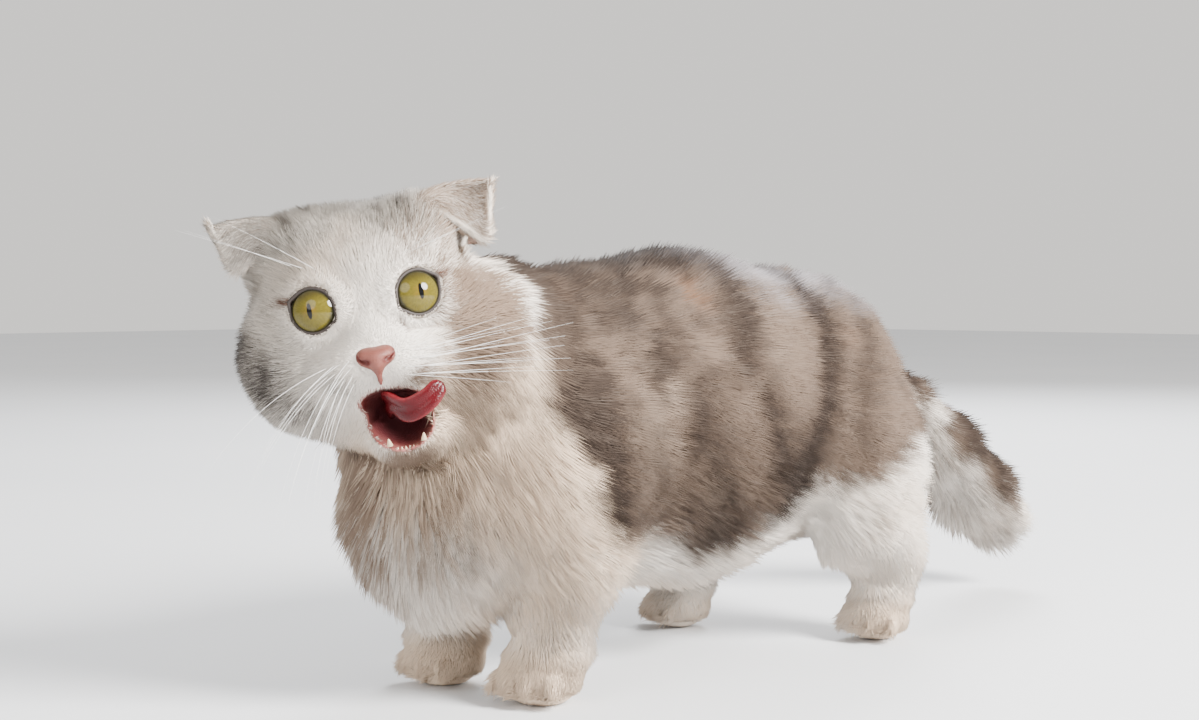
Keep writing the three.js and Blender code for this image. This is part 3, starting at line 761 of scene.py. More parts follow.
# The lie of the coat
# It runs away from the nose over the head, down the chest and legs, back along the trunk and out along the
# tail, and turns away from each eye. It is longest on the chest, trunk and tail.
NOSE_TIP = (0, -22, -20)
UNWRAP_ANGLE, UNWRAP_MARGIN = 66, 0.003


def tangent(directions, normals):
    flat = directions - normals * np.sum(directions * normals, axis=1)[:, None]
    return flat / np.maximum(np.linalg.norm(flat, axis=1), 1e-6)[:, None]


def mixed_rows(first, second, share):
    return first * (1 - share)[:, None] + second * share[:, None]


def lie_of_coat(points, normals, on_head, on_leg):
    x, y, z = points.T
    side = np.abs(normals[:, 0])
    ones = np.ones(len(points))
    lie = np.stack([0.05 * x / 60, ones, -0.12 - 0.5 * side], 1)
    chest = eased(-y, 84, 122)
    lie = mixed_rows(lie, np.stack([0.3 * x / 50, 0.35 * ones, -ones], 1), chest)
    run = np.gradient([p[2] for p in TAIL], [p[1] for p in TAIL])
    tail_run = np.stack([0 * ones, ones, np.interp(y, [p[1] for p in TAIL], run)], 1)
    lie = mixed_rows(lie, tail_run, eased(y, 128, 155))
    lie = mixed_rows(lie, np.stack([0.1 * np.sign(x), 0.2 * ones, -ones], 1), on_leg)
    foot = np.zeros_like(points)
    for (px, py), _, _ in FEET:
        near = np.hypot(x - px, y - py) < 36
        foot[near] = np.stack([x - px, y - py - 6, -12 * eased(z, 3, 10)], 1)[near] / 20
    lie = mixed_rows(lie, foot, eased(z, 30, 16) * (np.abs(foot).sum(1) > 0))
    lie = lie / np.linalg.norm(lie, axis=1)[:, None]
    q = to_head(points)
    face = q - NOSE_TIP
    face /= np.linalg.norm(face, axis=1)[:, None]
    for out in (1, -1):
        away = (q - (out * EYE_OUT, 0, 0)) * (1, 0, 1)
        distance = np.linalg.norm(away, axis=1)
        close = eased(distance, 17, 9) * (q[:, 1] < 8)
        face = mixed_rows(face, away / np.maximum(distance, 1)[:, None], close)
    back = np.array([0.25, 0.5, -1.0]) * ones[:, None]
    back[:, 0] = 0.2 * np.sign(q[:, 0])
    face = mixed_rows(face, back, eased(q[:, 1], 26, 58) * 0.8)
    return tangent(mixed_rows(lie, face @ head_turn.T, on_head), normals)


def coat_length(points, on_head, on_leg):
    x, y, z = points.T
    body = 15.0 + 3 * eased(-y, 100, 140) * eased(z, 60, 90) + 2 * eased(y, 190, 250)
    body = body + (8.0 - body) * on_leg
    body = body + (3.4 - body) * on_leg * eased(z, 28, 15)
    q = to_head(points)
    from_nose = np.linalg.norm(q - NOSE_TIP, axis=1)
    crown = eased(q[:, 2], 8, 20) * eased(q[:, 1], 46, 30)
    face = 1.9 + 4.0 * eased(from_nose, 10, 42) + (5.6 - 4.4 * crown) * eased(from_nose, 48, 74)
    face = np.minimum(face, 1.1 + 0.7 * np.maximum(mouth(*q.T), 0))
    for out in (1, -1):
        from_eye = np.linalg.norm(q - (out * EYE_OUT, -6, 0), axis=1)
        face = np.minimum(face, 1.7 + 5 * eased(from_eye, 9, 22) + 7 * eased(from_eye, 22, 36))
    return body * (1 - on_head) + face * on_head


def leg_share(points):
    x, y, z = points.T
    near_leg = np.minimum.reduce([shank(x, y, z) for shank in shanks])
    return eased(near_leg, 10, 0) * eased(z, 64, 42)


def dressed(points, normals, bare):
    """What the coat needs to know at each place of the skin."""
    body = body_outline(*points.T)
    head = head_outline(*to_head(points).T)
    on_head = eased(body - head, -7, 9)
    on_leg = leg_share(points) * (1 - on_head)
    length = coat_length(points, on_head, on_leg)
    depth = body_depth(*points.T) * (1 - on_head) + face_depth(*to_head(points).T) * on_head
    values = markings(points, normals, on_head)
    # Painted shade in the crease where the head meets the neck and chest, which goes into the cream and warm
    # masks.
    crease_shade = np.exp(-(((body - head + 4) / 13) ** 2)) * eased(points[:, 2], 165, 125)
    values["cream"] = np.clip(values["cream"] + 0.7 * crease_shade, 0, 1)
    values["warm"] = np.clip(values["warm"] + 0.3 * crease_shade, 0, 1)
    values["reach"] = length / 1000
    values["rise"] = np.minimum(depth, length * 0.75) / 1000
    values["girth"] = (0.30 + 0.018 * length) / 1000
    values["thick"] = (1 - bare) * np.clip(9.5 / length, 0.6, 2.2)
    values["lie"] = lie_of_coat(points, normals, on_head, on_leg)
    return values, on_head, on_leg


def painted_on(mesh, values):
    for name, value in values.items():
        kind = "FLOAT_VECTOR" if value.ndim == 2 else "FLOAT"
        layer = mesh.attributes.new(name, kind, "POINT")
        layer.data.foreach_set("vector" if value.ndim == 2 else "value", value.astype(np.float32).ravel())


def unwrapped(piece):
    """An unwrap of the piece's own shape, in which the coat's patches are placed."""
    piece.data.uv_layers.new(name="OFBake")
    bpy.context.view_layer.objects.active = piece
    piece.select_set(True)
    bpy.ops.object.mode_set(mode="EDIT")
    bpy.ops.mesh.select_all(action="SELECT")
    bpy.ops.uv.smart_project(angle_limit=math.radians(UNWRAP_ANGLE), island_margin=UNWRAP_MARGIN)
    bpy.ops.object.mode_set(mode="OBJECT")
    piece.select_set(False)


# The cream, cap grey, cheek grey, warm and stain colours also serve as painted shade where their masks carry
# it, and the silver-grey rim sheen colour is painted rim light on the top of the back.
WHITE, CREAM_AND_SHADE = (0.87, 0.80, 0.72), (0.72, 0.56, 0.42)
SADDLE_GROUND, SADDLE_PALE, SADDLE_DARK = (0.140, 0.099, 0.074), (0.22, 0.163, 0.124), (0.013, 0.008, 0.006)
RIM_SHEEN, GINGER = (0.29, 0.275, 0.290), (0.15, 0.078, 0.042)
CAP_GREY_AND_SHADE, CHEEK_GREY_AND_SHADE = (0.46, 0.42, 0.37), (0.070, 0.060, 0.053)
WARM_TINT_AND_SHADE, STAIN_AND_SHADE = (0.205, 0.145, 0.106), (0.085, 0.036, 0.022)
LIP_PINK = (0.16, 0.055, 0.042)


def coat_colour(place, chance, along):
    """The markings' colour, which each tuft takes a little early or late at their edges."""
    nudge = chance - 0.5

    def marked(name, reach=0.45):
        painted = place.painted(name)
        return (painted + nudge * reach).between(0.18, 0.82) if reach else painted

    darker = (place.painted("dark") + nudge * 0.5).between(0.0, 0.85)
    colour = marked("cream", 0.3).mixed(WHITE, CREAM_AND_SHADE)
    ground = marked("pale").mixed(SADDLE_GROUND, SADDLE_PALE)
    # The painted rim sheen on the top of the back, over the saddle's ground.
    ground = marked("silver", 0.6).mixed(ground, RIM_SHEEN)
    ground = marked("ginger", 0.6).mixed(ground, GINGER)
    ground = (darker * (0.6 + along * 0.4)).mixed(ground, SADDLE_DARK)
    colour = marked("saddle", 0.55).mixed(colour, ground)
    colour = marked("cap", 0.5).mixed(colour, CAP_GREY_AND_SHADE)
    colour = (marked("dark", 0.4) * marked("cap", 0.0)).mixed(colour, SADDLE_DARK)
    colour = marked("warm", 0.6).mixed(colour, WARM_TINT_AND_SHADE)
    colour = marked("grey", 0.6).mixed(colour, CHEEK_GREY_AND_SHADE)
    colour = marked("stain", 0.3).mixed(colour, STAIN_AND_SHADE)
    # Each tuft is painted darker towards its root as painted shade deep in the coat, and lighter or darker at
    # random.
    return colour.scaled(0.84 + along * 0.15 + nudge * 0.22)


def coat_paint(place):
    """The tufts' finish, lit half as the form beneath them is, so that the coat looks soft."""
    chance, along, form = place.painted("chance"), place.painted("along"), place.painted("form", 1)
    own = place.node("ShaderNodeNewGeometry", output="Normal")
    soft = place.vector("NORMALIZE", place.vector("ADD", own.scaled(0.45), form.scaled(0.55)))
    return {
        "Base Color": coat_colour(place, chance, along),
        "Roughness": 0.75,
        "Specular IOR Level": 0.15,
        "Normal": soft,
    }


def skin_paint(place):
    """The skin under the coat carries the same markings; in the mouth it is wet flesh with painted shade
    deeper in.
    """
    fine = place.noise(900.0, 2.0)
    bare = place.painted("wet")
    mottle = place.noise(180.0, 3.0).between(0.3, 0.7)
    front = mottle.mixed((0.27, 0.060, 0.055), (0.40, 0.140, 0.125))
    # Painted shade: the flesh is darker further back in the mouth.
    flesh = place.painted("deep").mixed(front, (0.070, 0.017, 0.019))
    colour = place.painted("lip").mixed(coat_colour(place, fine, fine * 0.4), LIP_PINK)
    colour = bare.mixed(colour, flesh)
    bump = place.node("ShaderNodeBump", {"Height": fine, "Strength": 0.35, "Distance": 0.0006})
    return {
        "Base Color": colour,
        "Roughness": bare.between(0.0, 1.0, 0.75, 0.28),
        "Normal": bump,
    }


plush_coat = finish("plush_coat", coat_paint)
skin_finish = finish("skin_under_coat", skin_paint)
skin_normals = slopes(skin_field, skin_points)
skin_normals /= np.maximum(np.linalg.norm(skin_normals, axis=1), 1e-6)[:, None]
inner = to_head(skin_points).T
sunk = -np.minimum(
    body_outline(*skin_points.T) + body_depth(*skin_points.T), head_outline(*inner) + face_depth(*inner)
)
in_mouth = eased(mouth(*inner), 0.75, 0.35) * (socket(*inner) > 3)
lip = eased(mouth(*inner), 1.7, 0.8) * (socket(*inner) > 3)
sole = eased(skin_points[:, 2], 5, 3) * eased(skin_normals[:, 2], 0.1, -0.3)
bare_skin = np.maximum.reduce([
    eased(sunk, 0.3, 1.0), 0.7 * lip, in_mouth, eased(nose_field(*inner), 0.6, 0.1),
    sole, eased(skin_points[:, 2], 1.6, 0.9),
])
skin_values, on_head, on_leg = dressed(skin_points, skin_normals, bare_skin)
# The deep mask is painted shade that darkens the flesh further back in the mouth.
skin_values |= {"wet": in_mouth, "lip": lip, "deep": eased(inner[1], -14, 8)}
skin = piece_from("skin", skin_points, skin_faces, skin_finish)
painted_on(skin.data, skin_values)
LEFT_FRONT, LEFT_REAR, RIGHT_FRONT, RIGHT_REAR, CHEST, FORELEGS = range(1, 7)
TAIL_AREA, HEAD_LEFT, HEAD_RIGHT, EAR_AREA, LID_AREA, HINDLEGS = range(7, 13)
CHEST_END, TRUNK_MIDDLE, TAIL_START = -102, 14, 146


def in_area(mesh, area):
    """Marks each face with the number of the area that it belongs to."""
    layer = mesh.attributes.new("area", "INT", "FACE")
    layer.data.foreach_set("value", np.broadcast_to(area, len(mesh.polygons)).astype(np.int32))


middles = skin_points[skin_faces].mean(1)
middle_x, middle_y, _ = middles.T
head_share, leg_part = on_head[skin_faces].mean(1), on_leg[skin_faces].mean(1)
left_flank = np.where(middle_y < TRUNK_MIDDLE, LEFT_FRONT, LEFT_REAR)
right_flank = np.where(middle_y < TRUNK_MIDDLE, RIGHT_FRONT, RIGHT_REAR)
area = np.where(middle_x > 0, left_flank, right_flank)
area = np.where(middle_y < CHEST_END, CHEST, area)
area = np.where(leg_part > 0.35, np.where(middle_y < 0, FORELEGS, HINDLEGS), area)
area = np.where(middle_y > TAIL_START, TAIL_AREA, area)
area = np.where(head_share > 0.5, np.where(to_head(middles)[:, 0] > 0, HEAD_LEFT, HEAD_RIGHT), area)
in_area(skin.data, area)
unwrapped(skin)
FLESH = [
    "torso", "neck", "head", "lower_jaw", "foreleg_left", "foreleg_right", "forepaw_left", "forepaw_right",
    "hindleg_left", "hindleg_right", "hindpaw_left", "hindpaw_right", "tail_root", "tail_end",
]
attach(skin, "root")
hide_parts(*FLESH)

# The coat
# Tufts of one or three fine closed spikes, rooted in the skin and leant over along the lie of the coat. The
# tufts of one area are one mesh. Their colour is that of the markings at their roots.
STRAY = 0.3
PATCH = 0.003


def tuft_shape(name, hairs):
    """Fine closed spikes along X from one root; the tree scales them to each root's sizes.

    Each hair is given as where its root and its tip stand across, its length, its lift and half its width.
    """
    corners, faces, ways = [], [], []
    for root, tip, length, lift, half in hairs:
        n = len(corners)
        corners += [(0, root - half, -0.12), (0, root + half, -0.12), (0.05, root, -0.12 + half * 0.5)]
        corners.append((length, tip, lift))
        ways += [(0, root - 0.1), (0, root + 0.1), (0.05, root), (length, tip)]
        faces += [(n, n + 2, n + 1), (n, n + 1, n + 3), (n + 1, n + 2, n + 3), (n + 2, n, n + 3)]
    mesh = bpy.data.meshes.new(name)
    mesh.from_pydata(corners, [], faces)
    mesh.polygons.foreach_set("use_smooth", [True] * len(faces))
    for column, label in enumerate(("along", "across")):
        layer = mesh.attributes.new(label, "FLOAT", "POINT")
        layer.data.foreach_set("value", [way[column] for way in ways])
    return bpy.data.objects.new(name, mesh)


long_tuft = tuft_shape("long_tuft", [
    (-0.9, -1.6, 0.94, 0.8, 0.42), (0.1, 0.2, 1.0, 1.0, 0.42), (0.9, 1.9, 0.82, 0.9, 0.42),
])
short_tuft = tuft_shape("short_tuft", [(0, 0, 1.0, 1.0, 0.5)])


class Tree:
    """A tree of geometry nodes with named inputs."""

    def __init__(self, name, inputs):
        self.tree = bpy.data.node_groups.new(name, "GeometryNodeTree")
        self.names = {}
        for label, kind, value in inputs:
            made = self.tree.interface.new_socket(label, in_out="INPUT", socket_type=kind)
            if value is not None:
                made.default_value = value
            self.names[label] = made.identifier
        self.tree.interface.new_socket("Geometry", in_out="OUTPUT", socket_type="NodeSocketGeometry")
        self.start = self.tree.nodes.new("NodeGroupInput")
        self.end = self.tree.nodes.new("NodeGroupOutput")

    def given(self, label):
        return self.start.outputs[label]

    def node(self, kind, inputs=None, output=0, **settings):
        made = self.tree.nodes.new(kind)
        for name, value in settings.items():
            setattr(made, name, value)
        for name, value in (inputs or {}).items():
            if isinstance(value, bpy.types.NodeSocket):
                self.tree.links.new(value, made.inputs[name])
            else:
                made.inputs[name].default_value = value
        return made.outputs[output]

    def painted(self, name, kind="FLOAT"):
        return self.node("GeometryNodeInputNamedAttribute", {"Name": name}, data_type=kind)

    def maths(self, operation, first, second):
        return self.node("ShaderNodeMath", {0: first, 1: second}, operation=operation)

    def chance(self, low, high, seed):
        return self.node("FunctionNodeRandomValue", {2: low, 3: high, "Seed": seed}, 1, data_type="FLOAT")

    def kept(self, geometry, name, value, kind="FLOAT", domain="POINT"):
        return self.node(
            "GeometryNodeStoreNamedAttribute",
            {"Geometry": geometry, "Name": name, "Value": value},
            data_type=kind, domain=domain,
        )

    def finished(self, geometry):
        self.tree.links.new(geometry, self.end.inputs[0])


coat_tree = Tree("coat_of_tufts", [
    ("Geometry", "NodeSocketGeometry", None),
    ("Area", "NodeSocketInt", 1),
    ("Tufts per square metre", "NodeSocketFloat", 1e6),
    ("Tuft", "NodeSocketObject", None),
    ("Seed", "NodeSocketInt", 1),
    ("Finish", "NodeSocketMaterial", None),
])
t = coat_tree
seed = t.given("Seed")
chosen = t.node(
    "FunctionNodeCompare", {2: t.painted("area", "INT"), 3: t.given("Area")},
    data_type="INT", operation="EQUAL",
)
scattered = t.tree.nodes.new("GeometryNodeDistributePointsOnFaces")
for socket_name, source in (
    ("Mesh", t.given("Geometry")), ("Selection", chosen), ("Seed", seed),
    ("Density", t.maths("MULTIPLY", t.painted("thick"), t.given("Tufts per square metre"))),
):
    t.tree.links.new(source, scattered.inputs[socket_name])
points = t.kept(scattered.outputs["Points"], "form", scattered.outputs["Normal"], "FLOAT_VECTOR")
points = t.kept(points, "root_uv", t.painted("OFBake", "FLOAT_VECTOR"), "FLOAT_VECTOR")
points = t.kept(points, "chance", t.chance(0.0, 1.0, seed))
swirl = t.node("ShaderNodeTexNoise", {"Scale": 95.0, "Detail": 1.0})
swirl = t.maths("MULTIPLY", t.maths("SUBTRACT", swirl, 0.5), 1.1)
turn = t.maths("ADD", swirl, t.maths("MULTIPLY", t.chance(-1.0, 1.0, seed), STRAY))
upright = t.node(
    "FunctionNodeAxesToRotation",
    {"Primary Axis": t.painted("form", "FLOAT_VECTOR"), "Secondary Axis": t.painted("lie", "FLOAT_VECTOR")},
    primary_axis="Z", secondary_axis="X",
)
spin = t.node("FunctionNodeAxisAngleToRotation", {"Axis": (0, 0, 1), "Angle": turn})
turned = t.node(
    "FunctionNodeRotateRotation", {"Rotation": upright, "Rotate By": spin}, rotation_space="LOCAL"
)
reach = t.maths("MULTIPLY", t.painted("reach"), t.chance(0.68, 1.15, seed))
lift = t.node("ShaderNodeTexNoise", {"Scale": 70.0, "Detail": 1.0})
lift = t.maths("MULTIPLY", t.maths("SUBTRACT", lift, 0.5), 1.1)
rise = t.maths("MULTIPLY", t.painted("rise"), t.maths("ADD", lift, t.chance(0.62, 1.12, seed)))
size = t.node("ShaderNodeCombineXYZ", {"X": reach, "Y": t.painted("girth"), "Z": rise})
placed = t.node(
    "GeometryNodeInstanceOnPoints",
    {
        "Points": points,
        "Instance": t.node("GeometryNodeObjectInfo", {"Object": t.given("Tuft")}, "Geometry"),
        "Rotation": turned,
        "Scale": size,
    },
)
real = t.node("GeometryNodeRealizeInstances", {"Geometry": placed})
patch = t.node("ShaderNodeCombineXYZ", {"X": t.painted("along"), "Y": t.painted("across"), "Z": 0.0})
patch = t.node("ShaderNodeVectorMath", {0: patch, "Scale": PATCH}, operation="SCALE")
patch = t.node("ShaderNodeVectorMath", {0: t.painted("root_uv", "FLOAT_VECTOR"), 1: patch}, operation="ADD")
real = t.kept(real, "OFBake", patch, "FLOAT2", "CORNER")
for spare in ("root_uv", "lie", "reach", "rise", "girth", "thick", "across", "wet", "lip", "deep"):
    real = t.node("GeometryNodeRemoveAttribute", {"Geometry": real, "Name": spare})
t.finished(t.node("GeometryNodeSetMaterial", {"Geometry": real, "Material": t.given("Finish")}))


def coat_piece(name, base, area, density, tuft, seed):
    """The tufts of one area of the base, as a plain mesh; the density is in tufts per square millimetre."""
    carrier = base.copy()
    carrier.data = base.data
    bpy.context.collection.objects.link(carrier)
    modifier = carrier.modifiers.new("coat", "NODES")
    modifier.node_group = coat_tree.tree
    given = {
        "Area": area, "Tufts per square metre": density * 1e6 * SHARE, "Tuft": tuft, "Seed": seed,
        "Finish": plush_coat,
    }
    for label, value in given.items():
        modifier[coat_tree.names[label]] = value
    bpy.context.view_layer.update()
    evaluated = carrier.evaluated_get(bpy.context.evaluated_depsgraph_get())
    mesh = bpy.data.meshes.new_from_object(evaluated)
    carrier.modifiers.remove(modifier)
    bpy.data.objects.remove(carrier)
    mesh.name = name
    made = bpy.data.objects.new(name, mesh)
    bpy.context.collection.objects.link(made)
    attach(made, "root")
    return made


SHARE = 1.0
COAT = {
    "coat_flank_left_front": (LEFT_FRONT, 0.95, long_tuft, "tabby_coat"),
    "coat_flank_left_rear": (LEFT_REAR, 0.95, long_tuft, "tabby_coat"),
    "coat_flank_right_front": (RIGHT_FRONT, 0.95, long_tuft, "tabby_coat"),
    "coat_flank_right_rear": (RIGHT_REAR, 0.95, long_tuft, "tabby_coat"),
    "coat_chest": (CHEST, 0.95, long_tuft, "light_coat"),
    "coat_forelegs": (FORELEGS, 1.9, short_tuft, "light_coat"),
    "coat_hindlegs": (HINDLEGS, 1.9, short_tuft, "light_coat"),
    "coat_tail": (TAIL_AREA, 0.95, long_tuft, "tabby_coat"),
    "coat_head_left": (HEAD_LEFT, 2.3, short_tuft, "light_coat"),
    "coat_head_right": (HEAD_RIGHT, 2.3, short_tuft, "light_coat"),
}
for name, (number, density, tuft, slot) in COAT.items():
    grown = coat_piece(name, skin, number, density, tuft, seed=number)

# The ears
# Small folded ears of thin skin, each a sheet that rises behind, bends over a ridge and hangs forward to its
# edge. Both faces carry very short hair, sparser on the pink inner face.

# How far out an ear reaches, the heights of its tip and of its hem, and how far the hem's front rises.
EAR_SIZES = {"left": (54, 36, 15, 13), "right": (51.5, 38, 20, 6)}
EAR_THICKNESS = 1.5


def through(points, steps):
    """A smooth curve through the points."""
    points = np.asarray(points, float)
    padded = np.concatenate([[2 * points[0] - points[1]], points, [2 * points[-1] - points[-2]]])
    where = np.linspace(0, len(points) - 1, steps)
    n = np.minimum(where.astype(int), len(points) - 2)
    t = (where - n)[:, None]
    a, b, c, d = (padded[n + k] for k in range(4))
    return 0.5 * (2 * b + (c - a) * t + (2 * a - 5 * b + 4 * c - d) * t**2 + (3 * b - a - 3 * c + d) * t**3)


def ear_sheet(out, reach, tip_height, hem, slope, along=26, across=30):
    """Rows of points from the ear's root to its tip, each from the back over the ridge to the front edge."""
    tip = (reach, 5, tip_height)
    back = through([
        (15, 26, 20), (22, 26, 27), (32, 31, hem + 4), (reach - 5, 25, hem), (reach - 2, 14, hem + 10), tip,
    ], along)
    ridge = through([(16, 16, 27), (24, 15, 34), (33, 13, 37.5), (43, 10, 38.5), (50, 7, 37.5), tip], along)
    edge = through([
        (20, 10, hem + slope - 1), (28, 7.5, hem + slope + 1), (reach - 20, 6, hem + slope),
        (reach - 12, 9, hem + 0.4 * slope), (reach - 6, 10, hem + 0.5), (reach - 2, 7.5, hem + 11), tip,
    ], along)
    v = np.linspace(0, 1, across)[None, :, None]
    u = np.linspace(0, 1, along)[:, None, None]
    first, second = np.clip(v * 2, 0, 1), np.clip(v * 2 - 1, 0, 1)
    lower = back[:, None] * (1 - first) + ridge[:, None] * first
    upper = ridge[:, None] * (1 - second) + edge[:, None] * second
    sheet = np.where(v < 0.5, lower, upper)
    swell = np.where(v < 0.5, np.sin(np.pi * first), np.sin(np.pi * second))
    swell = swell * np.minimum(1.2 - 1.2 * u, 1) * 3.5
    bulge = np.concatenate([0.3 * swell, np.where(v < 0.5, 0.75, -0.75) * swell, 0.6 * swell], axis=2)
    return (sheet + bulge) * (out, 1, 1)


def ear_solid(sheet, thickness):
    """The sheet given its thickness, as points, faces, outward normals and a mark for the inner face."""
    rows, columns = sheet.shape[:2]
    du = np.gradient(sheet, axis=0)
    dv = np.gradient(sheet, axis=1)
    du[-1] = du[-2]
    normal = np.cross(du, dv)
    normal[-1] = normal[-2]
    normal /= np.maximum(np.linalg.norm(normal, axis=2), 1e-6)[..., None]
    middle = sheet.reshape(-1, 3).mean(0)
    if np.sum(normal * (sheet - middle)) < 0:
        normal = -normal
    outer, inner = sheet + normal * thickness / 2, sheet - normal * thickness / 2
    number = np.arange(rows * columns).reshape(rows, columns)
    faces = []
    for n in range(rows - 1):
        for m in range(columns - 1):
            a, b, c, d = number[n, m], number[n, m + 1], number[n + 1, m + 1], number[n + 1, m]
            faces += [(a, b, c, d), tuple(rows * columns + np.array([d, c, b, a]))]
    loop = [*number[0, :], *number[1:, -1], *number[-1, -2::-1], *number[-2:0, 0]]
    for first, second in zip(loop, [*loop[1:], loop[0]]):
        faces.append((second, first, rows * columns + first, rows * columns + second))
    points = np.concatenate([outer.reshape(-1, 3), inner.reshape(-1, 3)])
    normals = np.concatenate([normal.reshape(-1, 3), -normal.reshape(-1, 3)])
    inside = np.repeat([0.0, 1.0], rows * columns)
    return points, faces, normals, inside


def ear_paint(place):
    """Pink skin on the inner face and greyer skin on the outer, both mottled, under the ear's sparse hair."""
    inside = place.painted("inside")
    mottle = place.noise(240.0, 3.0)
    pink = mottle.mixed((0.52, 0.30, 0.25), (0.66, 0.44, 0.38))
    cover = mottle.mixed((0.50, 0.42, 0.38), (0.60, 0.53, 0.49))
    bump = place.node("ShaderNodeBump", {"Height": place.noise(1400.0), "Strength": 0.3, "Distance": 0.0004})
    return {"Base Color": inside.mixed(cover, pink), "Roughness": 0.6, "Normal": bump}


def short_hair(normals, lie, reach, rise, girth, thick, **marks):
    """What the coat needs to know on a small piece, with no markings but those given."""
    none = np.zeros(len(normals))
    names = ("saddle", "dark", "silver", "ginger", "pale", "cap", "grey", "warm", "stain", "cream")
    values = {name: none + marks.get(name, 0) for name in names}
    values |= {"reach": none + reach / 1000, "rise": none + rise / 1000, "girth": none + girth / 1000}
    values |= {"thick": none + thick, "lie": tangent(lie, normals)}
    return values


def outward(piece):
    """The piece's faces turned outwards."""
    made = bmesh.new()
    made.from_mesh(piece.data)
    bmesh.ops.recalc_face_normals(made, faces=made.faces)
    made.to_mesh(piece.data)
    made.free()


ear_finish = finish("ear_skin", ear_paint)
for side, out in (("left", 1), ("right", -1)):
    sheet = ear_sheet(out, *EAR_SIZES[side])
    local, ear_faces, local_normals, inside = ear_solid(sheet, EAR_THICKNESS)
    ear_points, ear_normals = from_head(local), local_normals @ head_turn.T
    ear = piece_from(f"ear_skin_{side}", ear_points, ear_faces, ear_finish)
    outward(ear)
    rows, columns = sheet.shape[:2]
    down = np.gradient(sheet, axis=0) + 0.55 * np.abs(np.gradient(sheet, axis=1)) * (0, 0, -1)
    run = np.concatenate([down.reshape(-1, 3)] * 2) @ head_turn.T
    run /= np.maximum(np.linalg.norm(run, axis=1), 1e-6)[:, None]
    fringe = np.tile(eased(np.linspace(0, 1, columns), 0.92, 1.0), rows * 2)
    values = short_hair(
        ear_normals, run, reach=4.4 - 1.4 * inside + 2 * fringe, rise=1.2 + 0.2 * inside, girth=0.28,
        thick=1.0 - 0.72 * inside * (1 - fringe), cap=(0.6 if out < 0 else 0.3) * (1 - inside) * (1 - fringe),
        warm=(0.25 if out < 0 else 0.6) * (1 - fringe),
        cream=0.35 + 0.25 * inside,
    )
    painted_on(ear.data, values | {"inside": inside})
    in_area(ear.data, EAR_AREA)
    unwrapped(ear)
    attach(ear, "root")
    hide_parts(f"ear_{side}")
    hair = coat_piece(f"ear_hair_{side}", ear, EAR_AREA, 6, short_tuft, seed=30 + out)

# The eyes
# Two wet balls that swell a little at the front, with a yellow-green iris, fibred and darker at its edge,
# with painted shade under the upper lid, and an upright slit for a pupil.
EYE_SWELL = 0.07
PUPIL_WIDE, PUPIL_TALL = 0.085, 0.27


def eye_frame(out):
    """Across, up and forward for one eye, in the head's frame."""
    way = eye_way(out)
    across = np.cross((0, 0, 1), way)
    across /= np.linalg.norm(across)
    return across, np.cross(way, across), way


def eye_paint(place):
    look = place.painted("look", 1)
    across, up = [look.node("ShaderNodeSeparateXYZ", {0: look}, n) for n in range(2)]
    radius = (across * across + up * up) ** 0.5
    angle = across.maths("ARCTAN2", up, across)
    around = look.node("ShaderNodeCombineXYZ", {0: angle * 2.2, 1: radius * 1.4, 2: 0.3})
    fibres = around.noise(6.0, 4.0, 0.6)
    blotch = look.noise(5.0, 2.0)
    lit = fibres.mixed((0.040, 0.031, 0.003), (0.140, 0.116, 0.013))
    warm = radius.between(0.12, 0.34).mixed((0.13, 0.082, 0.010), lit)
    iris = blotch.between(0.35, 0.7).mixed(warm, lit)
    # Painted shade of the upper lid: the iris darkens towards its top.
    iris = up.between(0.22, 0.62, 0.0, 0.85).mixed(iris, (0.026, 0.020, 0.005))
    iris = radius.between(0.60, 0.70, 0.0, 0.92).mixed(iris, (0.012, 0.012, 0.006))
    slit = (across * across * (1 / PUPIL_WIDE**2) + up * up * (1 / PUPIL_TALL**2)) ** 0.5
    colour = slit.between(0.86, 1.12).mixed((0.002, 0.002, 0.002), iris)
    colour = radius.between(0.74, 0.80).mixed(colour, (0.10, 0.075, 0.06))
    return {
        "Base Color": colour, "Roughness": 0.4, "Specular IOR Level": 0.0, "Coat Weight": 1.0,
        "Coat Roughness": 0.02, "Coat IOR": 1.36,
    }


def ball(across, up, way, centre, radius, swell, rings=40, spokes=64):
    """A ball's points and faces, with its pole towards the way it looks."""
    points, marks = [], []
    for ring in range(rings + 1):
        turn = math.pi * ring / rings
        for spoke in range(spokes if 0 < ring < rings else 1):
            a = 2 * math.pi * spoke / spokes
            local = np.array([math.sin(turn) * math.cos(a), math.sin(turn) * math.sin(a), math.cos(turn)])
            marks.append(local)
            size = radius * (1 + swell * max(local[2] - 0.55, 0))
            points.append(centre + size * (across * local[0] + up * local[1] + way * local[2]))
    faces = []
    for spoke in range(spokes):
        after = (spoke + 1) % spokes
        faces.append((0, 1 + after, 1 + spoke))
        for ring in range(rings - 2):
            a, b = 1 + ring * spokes, 1 + (ring + 1) * spokes
            faces.append((a + spoke, a + after, b + after, b + spoke))
        a = 1 + (rings - 2) * spokes
        faces.append((a + spoke, a + after, len(points) - 1))
    return np.array(points), faces, np.array(marks)


eye_finish = finish("eye_wet", eye_paint)
for side, out in (("left", 1), ("right", -1)):
    across, up, way = eye_frame(out)
    eye_centre = np.array([out * EYE_OUT, 0, 0])
    eye_points, eye_faces, marks = ball(across, up, way, eye_centre, EYE_RADIUS, EYE_SWELL)
    eye = piece_from(f"eyeball_{side}", from_head(eye_points), eye_faces, eye_finish)
    outward(eye)
    # The look attribute holds each place on the ball across, up and forward, as parts of its radius.
    painted_on(eye.data, {"look": marks})
    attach(eye, "root")
    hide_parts(f"eye_{side}")

